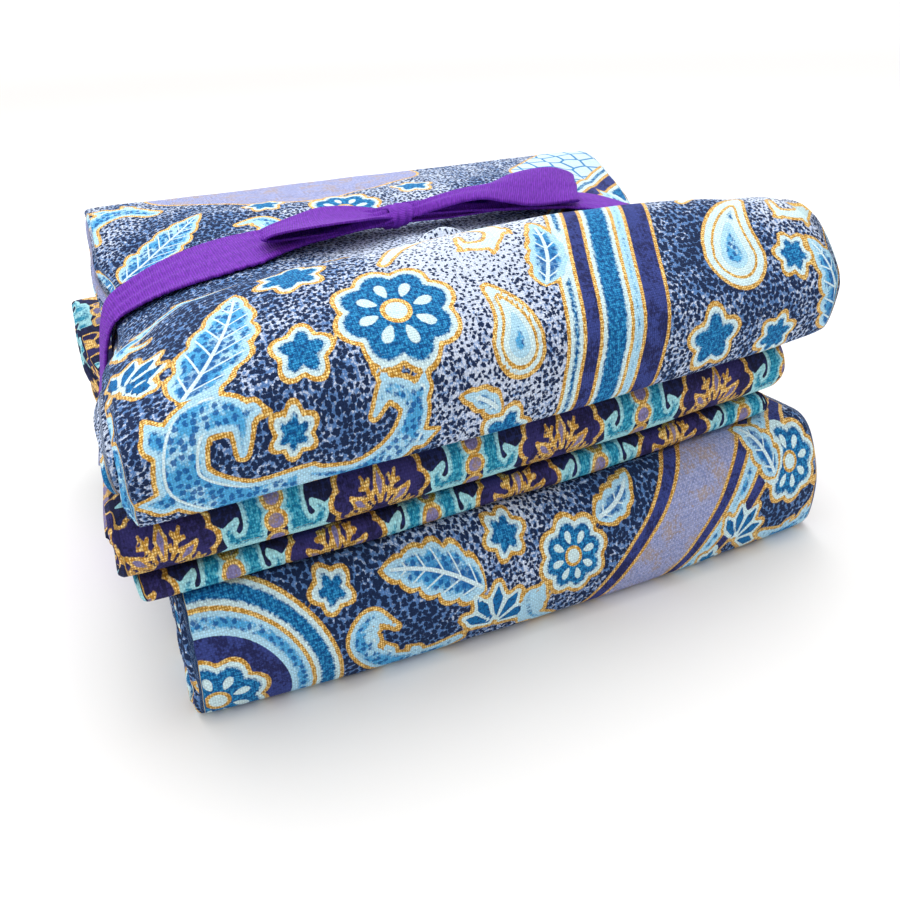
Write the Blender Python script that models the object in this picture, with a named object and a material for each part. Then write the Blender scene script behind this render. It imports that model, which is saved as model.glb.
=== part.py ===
# Fabric bundle: three folded pieces of quilting cotton in a stack, tied across with a ribbon.
# Sizes are millimetres, written to the meshes in metres. +X runs along the folded edges,
# +Y goes from the front folds to the back, and +Z is up from the surface under the stack.
from collections import namedtuple
import math

import bmesh
import bpy
import numpy as np

MM = 0.001

# Driving sizes of the stack
WIDTH = 140.0            # along the folds
DEPTH = 115.0            # front fold to back edge
SEAM_LEFT_FRONT = (23.8, 40.6)   # height of the two seams between pieces at the left front corner
SEAM_RISE_X = (0.6, 2.4)         # rise of each seam over the width
SEAM_RISE_Y = (1.5, 2.8)         # rise of each seam over the depth
SEAM_LIFT = (4.2, 3.4)           # and how far its right front corner is bent up over that
SEAM_LIFT_POWER = 2.5
STACK_TOP = 67.0         # height of the flat back part of the top piece
CLEAR = 0.6              # air between two pieces where they lie on each other

# Soft shape of the top piece
CREST_HEIGHT = 4.7       # how far the front roll stands over the back part
CREST_X = 20.0           # where it is highest
CREST_Y = -34.0
CREST_FORWARD = 11.5     # the crest runs this far to the front at the right end
CREST_SPREAD_LEFT = 46.0
CREST_SPREAD_RIGHT = 95.0
CREST_SPREAD_Y = 12.5

# What the ribbon does to the stack
RIBBON_WIDTH = 27.0
RIBBON_THICK = 1.0
RIBBON_GAP = 0.4         # air between the ribbon and the cloth
TROUGH_DEPTH = 2.5       # the ribbon sinks this far into the top
TROUGH_FADE = 17.0
SIDE_DROP = 12.0         # the side edges of the top are pulled down this far
SIDE_DROP_FROM = 35.0    # the pull starts this far from the middle
SIDE_DROP_OVER = 38.0
SIDE_FADE_FRONT = (140.0, 22.0)  # the left front edge stays down, and the right one soon rises
SIDE_FADE_BACK = 39.0
SEAM_SHARE = (0.15, 0.4)         # share of the pull that each seam follows
SIDE_NIP = 3.0           # the side ends are drawn in this far under the ribbon
GROOVE_DEPTH = 1.7       # hollow under the stack where the ribbon lies
FLAT_HALF = RIBBON_WIDTH / 2 + 1.5
GROOVE_HALF = FLAT_HALF + 2.5
TURN_FADE = 22.0         # past the ribbon, a piece takes up its own turn and shift over this length

# Sections of the mesh
RUN_STOPS = (-42.0, -27.0, -FLAT_HALF, FLAT_HALF, 27.0, 42.0)
BASE_STOPS = (-42.0, -27.0, -GROOVE_HALF, -FLAT_HALF, FLAT_HALF, GROOVE_HALF, 27.0, 42.0)
WIDTH_STOPS = (0.0, 0.07, 0.16, 0.28, 0.42, 0.56, 0.7, 0.83, 0.93, 1.0)
END_ROUND = ((0.0, 0.3), (0.2, 0.8))     # (inset, thickness) as shares of the layer at its side end
SMALL_TURN_STEPS = 5
LARGE_TURN_STEPS = 9
LARGE_TURN = 9.0         # a fold that spans more than this has the finer steps

# A layer of folded cloth: height of its middle, thickness, and its two side ends.
Layer = namedtuple("Layer", "height thick left right")
# A fold from one layer to the next: nose is its furthest point, reach is how far from the nose the
# lower and the upper layer start to curve, and waist is the height of the nose between the two.
Fold = namedtuple("Fold", "side nose reach_low reach_top waist")
# A folded piece: its own flat height, where it lies, how far its folds are turned, how its front
# bows, how far its left and right ends lean over the depth, the left end that all its layers share
# at the back, and the seams under and over it.
Piece = namedtuple(
    "Piece", "name height centre_x centre_y turn_degrees bow lean left_at_back seams layers folds stops"
)

PIECES = (
    Piece(
        "packet_bottom", 25.0, 0.0, 0.0, 0.4, 3.0, (0.0, 0.0), -70.0, (None, 0),
        layers=(
            Layer(22.7, 4.5, -69.0, 64.0),
            Layer(2.25, 4.5, -70.0, 67.0),
            Layer(7.4, 4.5, -70.5, 65.5),
            Layer(17.6, 4.5, -69.5, 63.5),
            Layer(12.5, 4.5, -70.0, 64.5),
        ),
        folds=(
            Fold("front", -57.0, 2.4, 7.0, 0.42),
            Fold("back", 55.5, 2.5, 2.5, 0.5),
            Fold("front", -50.6, 3.6, 5.0, 0.48),
            Fold("back", 54.0, 2.5, 2.5, 0.5),
            Fold("front", -43.0, 0.0, 0.0, 0.5),
        ),
        stops=(RUN_STOPS, BASE_STOPS, RUN_STOPS, RUN_STOPS, RUN_STOPS),
    ),
    Piece(
        "packet_middle", 17.0, -7.0, 6.0, 1.6, 0.5, (-2.0, 0.0), -70.0, (0, 1),
        layers=(
            Layer(11.4, 3.3, -70.5, 62.5),
            Layer(15.3, 3.3, -69.5, 64.0),
            Layer(7.4, 3.3, -70.0, 63.0),
            Layer(3.85, 2.3, -68.0, 61.5),
            Layer(1.15, 2.3, -67.5, 62.5),
        ),
        folds=(
            Fold("back", 57.5, 2.0, 2.0, 0.5),
            Fold("front", -59.4, 3.6, 4.4, 0.5),
            Fold("back", 58.0, 1.9, 1.9, 0.5),
            Fold("front", -58.0, 1.4, 1.4, 0.5),
            Fold("back", 57.0, 0.0, 0.0, 0.5),
        ),
        stops=(RUN_STOPS,) * 5,
    ),
    Piece(
        "packet_top", 24.0, 1.0, 0.5, 1.8, 1.0, (3.0, 9.0), -72.0, (1, None),
        layers=(
            Layer(1.75, 3.5, -72.0, 67.0),
            Layer(22.25, 3.5, -72.0, 68.0),
            Layer(18.15, 3.5, -75.0, 66.0),
            Layer(5.85, 3.5, -74.0, 67.5),
            Layer(9.95, 3.5, -75.5, 66.5),
            Layer(14.05, 3.5, -74.5, 68.0),
        ),
        folds=(
            Fold("front", -57.4, 2.2, 22.0, 0.42),
            Fold("back", 56.0, 2.05, 2.05, 0.5),
            Fold("front", -51.8, 3.2, 17.0, 0.42),
            Fold("back", 54.8, 2.05, 2.05, 0.5),
            Fold("front", -47.0, 2.05, 2.05, 0.5),
            Fold("back", 55.2, 0.0, 0.0, 0.5),
        ),
        stops=(RUN_STOPS,) * 6,
    ),
)

# Bow on top: each loop is a strip from the knot out along the band, round its end and back.
# Heights are over the top face of the ribbon's band.
LoopRow = namedtuple("LoopRow", "x height y half_width")
KNOT_X = -5.0
RIGHT_LOOP = (
    LoopRow(-3.0, 1.5, 0.5, 3.0),
    LoopRow(4.0, 1.0, 1.0, 5.0),
    LoopRow(14.0, 0.9, 1.5, 8.0),
    LoopRow(25.0, 1.2, 2.0, 10.0),
    LoopRow(31.5, 3.0, 2.0, 10.5),
    LoopRow(29.0, 5.2, 2.0, 10.0),
    LoopRow(21.0, 5.9, 1.5, 9.0),
    LoopRow(13.0, 4.9, 1.0, 6.5),
    LoopRow(4.0, 3.5, 1.0, 4.2),
    LoopRow(-3.0, 2.8, 0.5, 3.0),
)
LEFT_LOOP = (
    LoopRow(-7.0, 1.5, 0.5, 3.2),
    LoopRow(-15.0, 1.0, 1.0, 6.5),
    LoopRow(-25.0, 0.95, 2.5, 9.5),
    LoopRow(-32.0, 1.8, 3.5, 10.5),
    LoopRow(-27.5, 3.1, 3.0, 10.0),
    LoopRow(-18.0, 3.8, 1.5, 7.5),
    LoopRow(-7.0, 2.9, 0.5, 3.2),
)
LOOP_STEPS = 4           # points between two rows
LOOP_CUP = 0.9           # the edges of a loop stand this far from its middle
KNOT_SIZE = (5.2, 5.6, 2.7)
KNOT_LIFT = 1.7
BAND_STEP = 7.0          # spacing of the band's sections
BAND_ACROSS = (-1.0, -0.4, 0.4, 1.0)
LEAST_SIDE = 0.8         # shortest side of the band's outline round a corner

COTTON_COLOURS = {
    "packet_bottom": (0.16, 0.34, 0.58, 1.0),
    "packet_middle": (0.09, 0.11, 0.30, 1.0),
    "packet_top": (0.28, 0.38, 0.66, 1.0),
}
RIBBON_COLOUR = (0.17, 0.04, 0.36, 1.0)


def eased(distance, flat, fade):
    """1 within the flat half width, falling softly to 0 over the fade."""
    share = np.clip((np.abs(distance) - flat) / fade, 0.0, 1.0)
    return 0.5 * (1.0 + np.cos(np.pi * share))


def side_pull(x, y, front_fade):
    """How far the ribbon pulls the top down near its two side edges."""
    out = np.clip((np.abs(x) - SIDE_DROP_FROM) / SIDE_DROP_OVER, 0.0, 1.15)
    fade = np.where(y < 0.0, front_fade, SIDE_FADE_BACK)
    return SIDE_DROP * out**2 * eased(y, FLAT_HALF, fade)


def seam(index, x, y):
    """Height of the seam between two pieces."""
    rightness = np.clip((x + WIDTH / 2) / WIDTH, 0.0, 1.1)
    backness = (y + DEPTH / 2) / DEPTH
    rise = SEAM_RISE_X[index] * rightness + SEAM_RISE_Y[index] * backness
    lift = SEAM_LIFT[index] * rightness**SEAM_LIFT_POWER * (1.0 - 0.6 * backness)
    pulled = SEAM_SHARE[index] * side_pull(x, y, SIDE_FADE_BACK)
    return SEAM_LEFT_FRONT[index] + rise + lift - pulled


def stack_top(x, y):
    """Height of the top, with the crest of its front roll and the trough of the ribbon."""
    spread = np.where(x < CREST_X, CREST_SPREAD_LEFT, CREST_SPREAD_RIGHT)
    forward = CREST_FORWARD * np.clip((x - CREST_X) / (WIDTH / 2 - CREST_X), 0.0, 1.1) ** 2
    crest = np.exp(-(((x - CREST_X) / spread) ** 2) - ((y - CREST_Y + forward) / CREST_SPREAD_Y) ** 2)
    trough = TROUGH_DEPTH * eased(y, FLAT_HALF, TROUGH_FADE)
    front_fade = np.where(x < 0.0, *SIDE_FADE_FRONT)
    return STACK_TOP + CREST_HEIGHT * crest - trough - side_pull(x, y, front_fade)


def stack_base(y):
    """The surface under the stack, with the hollow that the ribbon lies in."""
    return GROOVE_DEPTH * eased(y, FLAT_HALF, GROOVE_HALF - FLAT_HALF)


def fold_points(fold, low, high, upward):
    """Points of one fold between the heights of two layers, without its two ends."""
    steps = LARGE_TURN_STEPS if high - low > LARGE_TURN else SMALL_TURN_STEPS
    waist = low + fold.waist * (high - low)
    inward = 1.0 if fold.side == "front" else -1.0
    points = []
    for step in range(1, steps + 1):
        angle = math.pi * step / (steps + 1)
        lower = angle < math.pi / 2
        reach = fold.reach_low if lower else fold.reach_top
        span = waist - low if lower else high - waist
        depth = fold.nose + inward * reach * (1.0 - math.sin(angle))
        points.append((depth, waist - span * math.cos(angle)))
    return points if upward else points[::-1]


def middle_line(piece):
    """Rows of depth, height, thickness, left end and right end along the cloth of one piece."""
    rows = []
    first_side = "back" if piece.folds[0].side == "front" else "front"
    start = {"front": -DEPTH / 2 + 4.0, "back": DEPTH / 2 - 1.0}[first_side]
    for index, (layer, fold) in enumerate(zip(piece.layers, piece.folds)):
        last = index == len(piece.layers) - 1
        following = None if last else piece.layers[index + 1]
        inward = 1.0 if fold.side == "front" else -1.0
        upward = following is not None and following.height > layer.height
        reach = fold.reach_low if upward else fold.reach_top
        end = fold.nose + inward * reach
        forward = end > start
        stops = sorted(piece.stops[index], reverse=not forward)
        inner = [s for s in stops if min(start, end) + 2.0 < s < max(start, end) - 2.0]
        for depth in [start] + inner + [end]:
            rows.append((depth, layer.height, layer.thick, layer.left, layer.right))
        if last:
            break
        low, high = sorted((layer.height, following.height))
        turn = fold_points(fold, low, high, upward)
        for step, (depth, height) in enumerate(turn, 1):
            share = step / (len(turn) + 1)
            mixed = [a + (b - a) * share for a, b in zip(layer[1:], following[1:])]
            rows.append((depth, height, *mixed))
        start = fold.nose + inward * (fold.reach_top if upward else fold.reach_low)
    return np.array(rows)


def line_normals(depth, height):
    run, rise = np.gradient(depth), np.gradient(height)
    length = np.hypot(run, rise)
    return -rise / length, run / length


def settle(piece, x, depth, height):
    """Lays points of the flat section into the stack: turned, bowed, pressed and drawn in."""
    turn = math.sin(math.radians(piece.turn_degrees))
    front_share = np.clip(-depth / (DEPTH / 2), 0.0, 1.0) ** 2
    depth = depth - piece.bow * front_share * (1.0 - (x / (WIDTH / 2)) ** 2)
    side_share = np.clip(np.abs(x) / (WIDTH / 2), 0.0, 1.0) ** 6
    x = x - np.sign(x) * SIDE_NIP * side_share * eased(depth, FLAT_HALF, TROUGH_FADE)
    # The rows under the ribbon stay in line with it, and the turn and the shift grow from there.
    away = np.clip((np.abs(depth) - GROOVE_HALF) / TURN_FADE, 0.0, 1.0)
    rightness = 0.5 + x / WIDTH
    lean = piece.lean[0] + (piece.lean[1] - piece.lean[0]) * rightness
    world_x = piece.centre_x + x + lean * depth / DEPTH
    world_y = depth + away * (piece.centre_y + x * turn)
    under, over = piece.seams
    if under is None:
        floor = stack_base(world_y)
    else:
        floor = seam(under, world_x, world_y) + CLEAR / 2
    if over is None:
        ceiling = stack_top(world_x, world_y)
    else:
        ceiling = seam(over, world_x, world_y) - CLEAR / 2
    share = height / piece.height
    # The flat underside stays flat: only the lowest face follows the hollow for the ribbon.
    if under is None:
        floor = floor * np.clip(1.0 - share * 2.0, 0.0, 1.0)
    return world_x, world_y, floor + share * (ceiling - floor)


def closed_grid(rings):
    """Faces between equal rings of points, with strips that close the first and the last ring."""
    count = len(rings[0])
    faces = []
    for ring in range(len(rings) - 1):
        for point in range(count):
            after = (point + 1) % count
            a, b = ring * count + point, ring * count + after
            faces.append((a, a + count, b + count, b))
    half = count // 2
    last = (len(rings) - 1) * count
    for point in range(half):
        a, b = point, point + 1
        c, d = count - 1 - point, (count - point) % count
        for base, order in ((0, 1), (last, -1)):
            loop = []
            for corner in (a, b, c, d):
                if corner not in loop:
                    loop.append(corner)
            if len(loop) > 2:
                faces.append(tuple(base + corner for corner in loop[::order]))
    return faces


def mesh_object(name, points, faces, collection):
    """A mesh object with its faces pointing out."""
    mesh = bpy.data.meshes.new(name)
    mesh.from_pydata([tuple(point) for point in np.asarray(points) * MM], [], faces)
    shape = bmesh.new()
    shape.from_mesh(mesh)
    bmesh.ops.triangulate(shape, faces=shape.faces[:], quad_method="SHORT_EDGE")
    bmesh.ops.recalc_face_normals(shape, faces=shape.faces[:])
    if shape.calc_volume(signed=True) < 0:
        bmesh.ops.reverse_faces(shape, faces=shape.faces[:])
    shape.to_mesh(mesh)
    shape.free()
    mesh.shade_smooth()
    mesh.set_sharp_from_angle(angle=math.radians(50))
    result = bpy.data.objects.new(name, mesh)
    collection.objects.link(result)
    return result


def folded_piece(piece, collection):
    """One cloth, folded back and forth, as a closed solid with rounded side ends."""
    depth, height, thick, left, right = middle_line(piece).T
    backness = np.clip(depth / DEPTH + 0.5, 0.0, 1.0)
    left = left + (piece.left_at_back - left) * backness
    normal_y, normal_z = line_normals(depth, height)
    stations = []
    for inset, share in END_ROUND:
        stations.append((0.0, inset, share))
    stations += [(stop, 1.0 - 2.0 * stop, 1.0) for stop in WIDTH_STOPS]
    for inset, share in END_ROUND[::-1]:
        stations.append((1.0, -inset, share))
    rings = []
    for stop, inset, share in stations:
        x = left + (right - left) * stop + inset * thick * 0.5
        half = 0.5 * thick * share
        sides = []
        for sign in (1.0, -1.0):
            sides.append(settle(piece, x, depth + sign * normal_y * half, height + sign * normal_z * half))
        over, under = (np.column_stack(side) for side in sides)
        rings.append(np.vstack([over, under[::-1]]))
    return mesh_object(piece.name, np.vstack(rings), closed_grid(rings), collection)


def outline_hull(points):
    """The taut outline round points in a plane, anticlockwise."""
    ordered = sorted(set(map(tuple, np.round(points, 3))))
    hull = []
    for pass_points in (ordered, ordered[::-1]):
        chain = []
        for point in pass_points:
            while len(chain) > 1:
                (ax, az), (bx, bz) = chain[-2:]
                if (bx - ax) * (point[1] - az) - (bz - az) * (point[0] - ax) > 0:
                    break
                chain.pop()
            chain.append(point)
        hull += chain[:-1]
    return np.array(hull)


def even_outline(outline, step):
    """The closed outline with points at even spacing and its own corners kept."""
    points = []
    for start, end in zip(outline, np.roll(outline, -1, axis=0)):
        pieces = max(1, round(np.linalg.norm(end - start) / step))
        for part in range(pieces):
            points.append(start + (end - start) * part / pieces)
    return np.array(points)


def thinned(outline, least):
    """The outline without points closer than the least distance to the one before."""
    kept = [outline[0]]
    for point in outline[1:]:
        if np.linalg.norm(point - kept[-1]) >= least:
            kept.append(point)
    if np.linalg.norm(kept[0] - kept[-1]) < least:
        kept.pop()
    return np.array(kept)


def outward(outline):
    """Unit normals of a closed anticlockwise outline."""
    tangent = np.roll(outline, -1, axis=0) - np.roll(outline, 1, axis=0)
    tangent /= np.linalg.norm(tangent, axis=1)[:, None]
    return np.column_stack([tangent[:, 1], -tangent[:, 0]])


def ribbon_band(packets, collection):
    """The ribbon's band, drawn taut round the middle of the stack."""
    near = []
    for packet in packets:
        for vertex in packet.data.vertices:
            point = np.array(vertex.co) / MM
            if abs(point[1]) < FLAT_HALF + 0.5:
                near.append((point[0], max(point[2], GROOVE_DEPTH)))
    hull = outline_hull(np.array(near))
    route = even_outline(thinned(hull, LEAST_SIDE), BAND_STEP)
    normals = outward(route)
    rings = []
    for point, normal in zip(route, normals):
        inner = point + normal * RIBBON_GAP
        outer = point + normal * (RIBBON_GAP + RIBBON_THICK)
        across = [RIBBON_WIDTH / 2 * share for share in BAND_ACROSS]
        ring = [(inner[0], y, inner[1]) for y in across]
        ring += [(outer[0], y, outer[1]) for y in across[::-1]]
        rings.append(ring)
    count = len(rings[0])
    faces = []
    for ring in range(len(rings)):
        following = (ring + 1) % len(rings)
        for point in range(count):
            after = (point + 1) % count
            faces.append((ring * count + point, following * count + point,
                          following * count + after, ring * count + after))
    return mesh_object("ribbon_tie", np.vstack(rings), faces, collection)


def smooth_rows(rows, steps):
    """A smooth curve through the rows, with the given number of points to each gap."""
    rows = np.array(rows, float)
    padded = np.vstack([2 * rows[0] - rows[1], rows, 2 * rows[-1] - rows[-2]])
    points = []
    for index in range(1, len(rows)):
        a, b, c, d = padded[index - 1:index + 3]
        for step in range(steps):
            t = step / steps
            points.append(0.5 * (2 * b + (c - a) * t + (2 * a - 5 * b + 4 * c - d) * t**2
                                 + (3 * b - a - 3 * c + d) * t**3))
    points.append(rows[-1])
    return np.array(points)


def loop_strip(name, rows, band_top, collection):
    """One loop of the bow as a thin closed strip."""
    x, height, y, half_width = smooth_rows(rows, LOOP_STEPS).T
    z = band_top + height
    normal_x, normal_z = line_normals(x, z)
    rings = []
    for index in range(len(x)):
        ring = []
        for side in (1.0, -1.0):
            for share in BAND_ACROSS[::int(side)]:
                lift = side * RIBBON_THICK / 2 - LOOP_CUP * share**2 * half_width[index] / 12.0
                ring.append((x[index] + normal_x[index] * lift, y[index] + share * half_width[index],
                             z[index] + normal_z[index] * lift))
        rings.append(ring)
    return mesh_object(name, np.vstack(rings), closed_grid(rings), collection)


def knot(band_top, collection):
    """The flattened lump where the two loops cross over the band."""
    shape = bmesh.new()
    bmesh.ops.create_uvsphere(shape, u_segments=14, v_segments=8, radius=1.0)
    for vertex in shape.verts:
        pinch = 1.0 - 0.18 * math.cos(3.0 * math.atan2(vertex.co.y, vertex.co.x))
        vertex.co.x *= KNOT_SIZE[0] * pinch * MM
        vertex.co.y *= KNOT_SIZE[1] * pinch * MM
        vertex.co.z *= KNOT_SIZE[2] * MM
    mesh = bpy.data.meshes.new("bow_knot")
    shape.to_mesh(mesh)
    shape.free()
    result = bpy.data.objects.new("bow_knot", mesh)
    result.location = (KNOT_X * MM, 0.5 * MM, (band_top + KNOT_LIFT) * MM)
    collection.objects.link(result)
    return result


def cloth_material(name, colour, roughness):
    material = bpy.data.materials.new(name)
    material.use_nodes = True
    shader = material.node_tree.nodes["Principled BSDF"]
    shader.inputs["Base Color"].default_value = colour
    shader.inputs["Roughness"].default_value = roughness
    shader.inputs["Metallic"].default_value = 0.0
    return material


def join_bow(band, helpers):
    """Joins the loops and the knot to the band, so that the ribbon is one piece."""
    for helper in helpers:
        helper.hide_render = True
        helper.display_type = "WIRE"
        union = band.modifiers.new("join_" + helper.name, "BOOLEAN")
        union.operation = "UNION"
        union.solver = "EXACT"
        union.object = helper


def centre_on_base(objects):
    """Moves all points so that the origin is under the middle of the stack's box."""
    bpy.context.view_layer.update()
    graph = bpy.context.evaluated_depsgraph_get()
    corners = []
    for item in objects:
        evaluated = item.evaluated_get(graph)
        mesh = evaluated.to_mesh()
        corners += [evaluated.matrix_world @ vertex.co for vertex in mesh.vertices]
        evaluated.to_mesh_clear()
    spread = np.array([tuple(corner) for corner in corners])
    low, high = spread.min(axis=0), spread.max(axis=0)
    return np.array([-(low[0] + high[0]) / 2, -(low[1] + high[1]) / 2, -low[2]])


def build():
    for item in list(bpy.data.objects):
        bpy.data.objects.remove(item, do_unlink=True)
    bundle = bpy.data.collections.new("fabric_bundle")
    shapers = bpy.data.collections.new("bow_shapers")
    for collection in (bundle, shapers):
        bpy.context.scene.collection.children.link(collection)
    packets = []
    for piece in PIECES:
        packet = folded_piece(piece, bundle)
        packet.data.materials.append(cloth_material(piece.name + "_cotton", COTTON_COLOURS[piece.name], 0.85))
        packets.append(packet)
    band = ribbon_band(packets, bundle)
    band.data.materials.append(cloth_material("ribbon_weave", RIBBON_COLOUR, 0.6))
    near_knot = [vertex.co.z for vertex in band.data.vertices if abs(vertex.co.x / MM - KNOT_X) < 25.0]
    band_top = max(near_knot) / MM
    helpers = (
        loop_strip("bow_loop_left", LEFT_LOOP, band_top, shapers),
        loop_strip("bow_loop_right", RIGHT_LOOP, band_top, shapers),
        knot(band_top, shapers),
    )
    join_bow(band, helpers)
    shift = centre_on_base(packets + [band])
    for item in packets + [band, *helpers]:
        item.location = [place + move for place, move in zip(item.location, shift)]
    print("stack moved by", np.round(shift / MM, 3), "mm; band top", round(band_top, 2))


build()
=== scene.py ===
import math
from functools import partial

import bmesh
import bpy
import numpy as np
from mathutils import Matrix


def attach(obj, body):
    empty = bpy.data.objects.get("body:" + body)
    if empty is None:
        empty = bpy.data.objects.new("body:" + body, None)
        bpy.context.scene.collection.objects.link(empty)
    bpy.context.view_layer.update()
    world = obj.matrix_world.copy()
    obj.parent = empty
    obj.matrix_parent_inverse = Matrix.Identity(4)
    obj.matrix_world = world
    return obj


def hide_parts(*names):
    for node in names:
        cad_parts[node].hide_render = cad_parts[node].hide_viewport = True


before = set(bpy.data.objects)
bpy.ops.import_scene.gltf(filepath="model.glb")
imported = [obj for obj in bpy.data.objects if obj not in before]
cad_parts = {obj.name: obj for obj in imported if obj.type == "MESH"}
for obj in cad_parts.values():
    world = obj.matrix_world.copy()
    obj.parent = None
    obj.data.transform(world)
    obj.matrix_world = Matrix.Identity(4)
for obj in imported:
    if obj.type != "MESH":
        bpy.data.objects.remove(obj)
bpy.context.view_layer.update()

# Three folded cuts of printed cotton in a stack, tied with a purple ribbon.
# Lengths are millimetres in the stack's own frame, and placed() turns them to metres in the frame's.

mm = 0.001

stack = {
    "shift": (2.369, -2.429, 0),  # from the stack's own middle to the middle of its box
    "width": 140,
    "depth": 115,
    "seamLeftFront": (23.8, 40.6),  # height of the two seams at the left front corner
    "seamRiseX": (0.6, 2.4),  # they rise this far to the right end
    "seamRiseY": (1.5, 2.8),  # and this far to the back
    "seamLift": (4.2, 3.4),  # and their right front corner is bent up this far over that
    "seamWander": 0.3,  # the seams wander up and down this far
    "top": 67,
    "air": 0.3,  # between two packets
    "crestHeight": 4.7,  # front roll of the top packet
    "crestAt": (20, -34),
    "crestForward": 11.5,  # it runs this far to the front at the right end
    "crestSpread": (46, 95, 12.5),  # to the left, to the right, and front to back
}
pull = {
    "ribbonWidth": 27,
    "trough": 2.5,  # the ribbon sinks in this far
    "troughFade": 17,
    "sideDrop": 12,  # it pulls the side edges down this far
    "sideDropFrom": 35,
    "sideDropOver": 38,
    "sideFadeFront": (140, 22),  # the left front edge stays down, and the right one soon rises
    "sideFadeBack": 39,
    "seamShare": (0.15, 0.4),
    "nip": 3,  # and draws the side ends in
    "groove": 1.7,
}
flatHalf = pull["ribbonWidth"] / 2 + 1.5
grooveHalf = flatHalf + 2.5
turnFade = 22


def placed(points):
    return (np.asarray(points, float) + np.array(stack["shift"])) * mm


def unit(values):  # kept from 0 to 1
    return np.clip(values, 0, 1)


def eased(distance, flat, fade):  # 1 on the flat part, softly down to 0 over the fade
    share = unit((np.abs(distance) - flat) / fade)
    return 0.5 * (1 + np.cos(np.pi * share))


def waves(a, b, seed, scale):  # smooth unevenness from -1 to 1, the same on each run
    total = 0
    for order in range(4):
        turn = seed * 1.7 + order * 2.4
        pitch = scale * (1 + 0.37 * order)
        slope = a * math.cos(turn) + b * math.sin(turn)
        total = total + np.sin(slope * 2 * np.pi / pitch + seed * 3.1 + order)
    return total / 4


def sidePull(x, y, frontFade):
    out = np.clip((np.abs(x) - pull["sideDropFrom"]) / pull["sideDropOver"], 0, 1.15)
    fade = np.where(y < 0, frontFade, pull["sideFadeBack"])
    return pull["sideDrop"] * out**2 * eased(y, flatHalf, fade)


def seamHeight(index, x, y):
    rightness = np.clip((x + stack["width"] / 2) / stack["width"], 0, 1.1)
    backness = (y + stack["depth"] / 2) / stack["depth"]
    rise = stack["seamRiseX"][index] * rightness + stack["seamRiseY"][index] * backness
    lift = stack["seamLift"][index] * rightness**2.5 * (1 - 0.6 * backness)
    wander = stack["seamWander"] * waves(x, y, 4 + index, 46)
    drop = pull["seamShare"][index] * sidePull(x, y, pull["sideFadeBack"])
    return stack["seamLeftFront"][index] + rise + lift + wander - drop


def topHeight(x, y):
    crestX, crestY = stack["crestAt"]
    left, right, deep = stack["crestSpread"]
    spread = np.where(x < crestX, left, right)
    forward = stack["crestForward"] * np.clip((x - crestX) / (stack["width"] / 2 - crestX), 0, 1.1) ** 2
    crest = np.exp(-(((x - crestX) / spread) ** 2) - ((y - crestY + forward) / deep) ** 2)
    trough = pull["trough"] * eased(y, flatHalf, pull["troughFade"])
    frontFade = np.where(x < 0, *pull["sideFadeFront"])
    return stack["top"] + stack["crestHeight"] * crest - trough - sidePull(x, y, frontFade)


# Packets: rows of the folded layers (height, thickness, left end, right end, spacing of the mesh) and of
# the folds between them (side, nose, reach below, reach above, waist, spacing), in the cloth's order.
packets = {
    "packet_bottom": {
        "height": 25, "centre": (0, 0), "turn": 0.4, "bow": 3, "lean": (0, 0), "leftAtBack": -70,
        "seams": (None, 0), "faceSign": -1, "faceFold": 0,
        "layers": [
            (22.7, 4.5, -69, 64, 2.4), (2.25, 4.5, -70, 67, 2.6),
            (7.4, 4.5, -70.5, 65.5, 3), (17.6, 4.5, -69.5, 63.5, 3),
            (12.5, 4.5, -70, 64.5, 3),
        ],
        "folds": [
            ("front", -57, 2.4, 7, 0.42, 0.6), ("back", 55.5, 2.5, 2.5, 0.5, 0.8),
            ("front", -50.6, 3.6, 5, 0.48, 1.2), ("back", 54, 2.5, 2.5, 0.5, 0.8),
            ("front", -43, 0, 0, 0.5, 1),
        ],
    },
    "packet_middle": {
        "height": 17, "centre": (-7, 6), "turn": 1.6, "bow": 0.5, "lean": (-2, 0), "leftAtBack": -70,
        "seams": (0, 1), "faceSign": -1, "faceFold": 1,
        "layers": [
            (11.4, 3.3, -70.5, 62.5, 3), (15.3, 3.3, -69.5, 64, 2),
            (7.4, 3.3, -70, 63, 2.4), (3.85, 2.3, -68, 61.5, 2.4),
            (1.15, 2.3, -67.5, 62.5, 3),
        ],
        "folds": [
            ("back", 57.5, 2, 2, 0.5, 0.8), ("front", -59.4, 3.6, 4.4, 0.5, 0.55),
            ("back", 58, 1.9, 1.9, 0.5, 0.8), ("front", -58, 1.4, 1.4, 0.5, 0.5),
            ("back", 57, 0, 0, 0.5, 1),
        ],
    },
    "packet_top": {
        "height": 24, "centre": (1, 0.5), "turn": 1.8, "bow": 1, "lean": (3, 9), "leftAtBack": -72,
        "seams": (1, None), "faceSign": 1, "faceFold": 0,
        "layers": [
            (1.75, 3.5, -72, 67, 3), (22.25, 3.5, -72, 68, 0.66),
            (18.15, 3.5, -75, 66, 3), (5.85, 3.5, -74, 67.5, 3),
            (9.95, 3.5, -75.5, 66.5, 3), (14.05, 3.5, -74.5, 68, 3),
        ],
        "folds": [
            ("front", -57.4, 2.2, 22, 0.42, 0.6), ("back", 56, 2.05, 2.05, 0.5, 0.8),
            ("front", -51.8, 3.2, 17, 0.42, 1.2), ("back", 54.8, 2.05, 2.05, 0.5, 0.8),
            ("front", -47, 2.05, 2.05, 0.5, 1), ("back", 55.2, 0, 0, 0.5, 1),
        ],
    },
}

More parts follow.
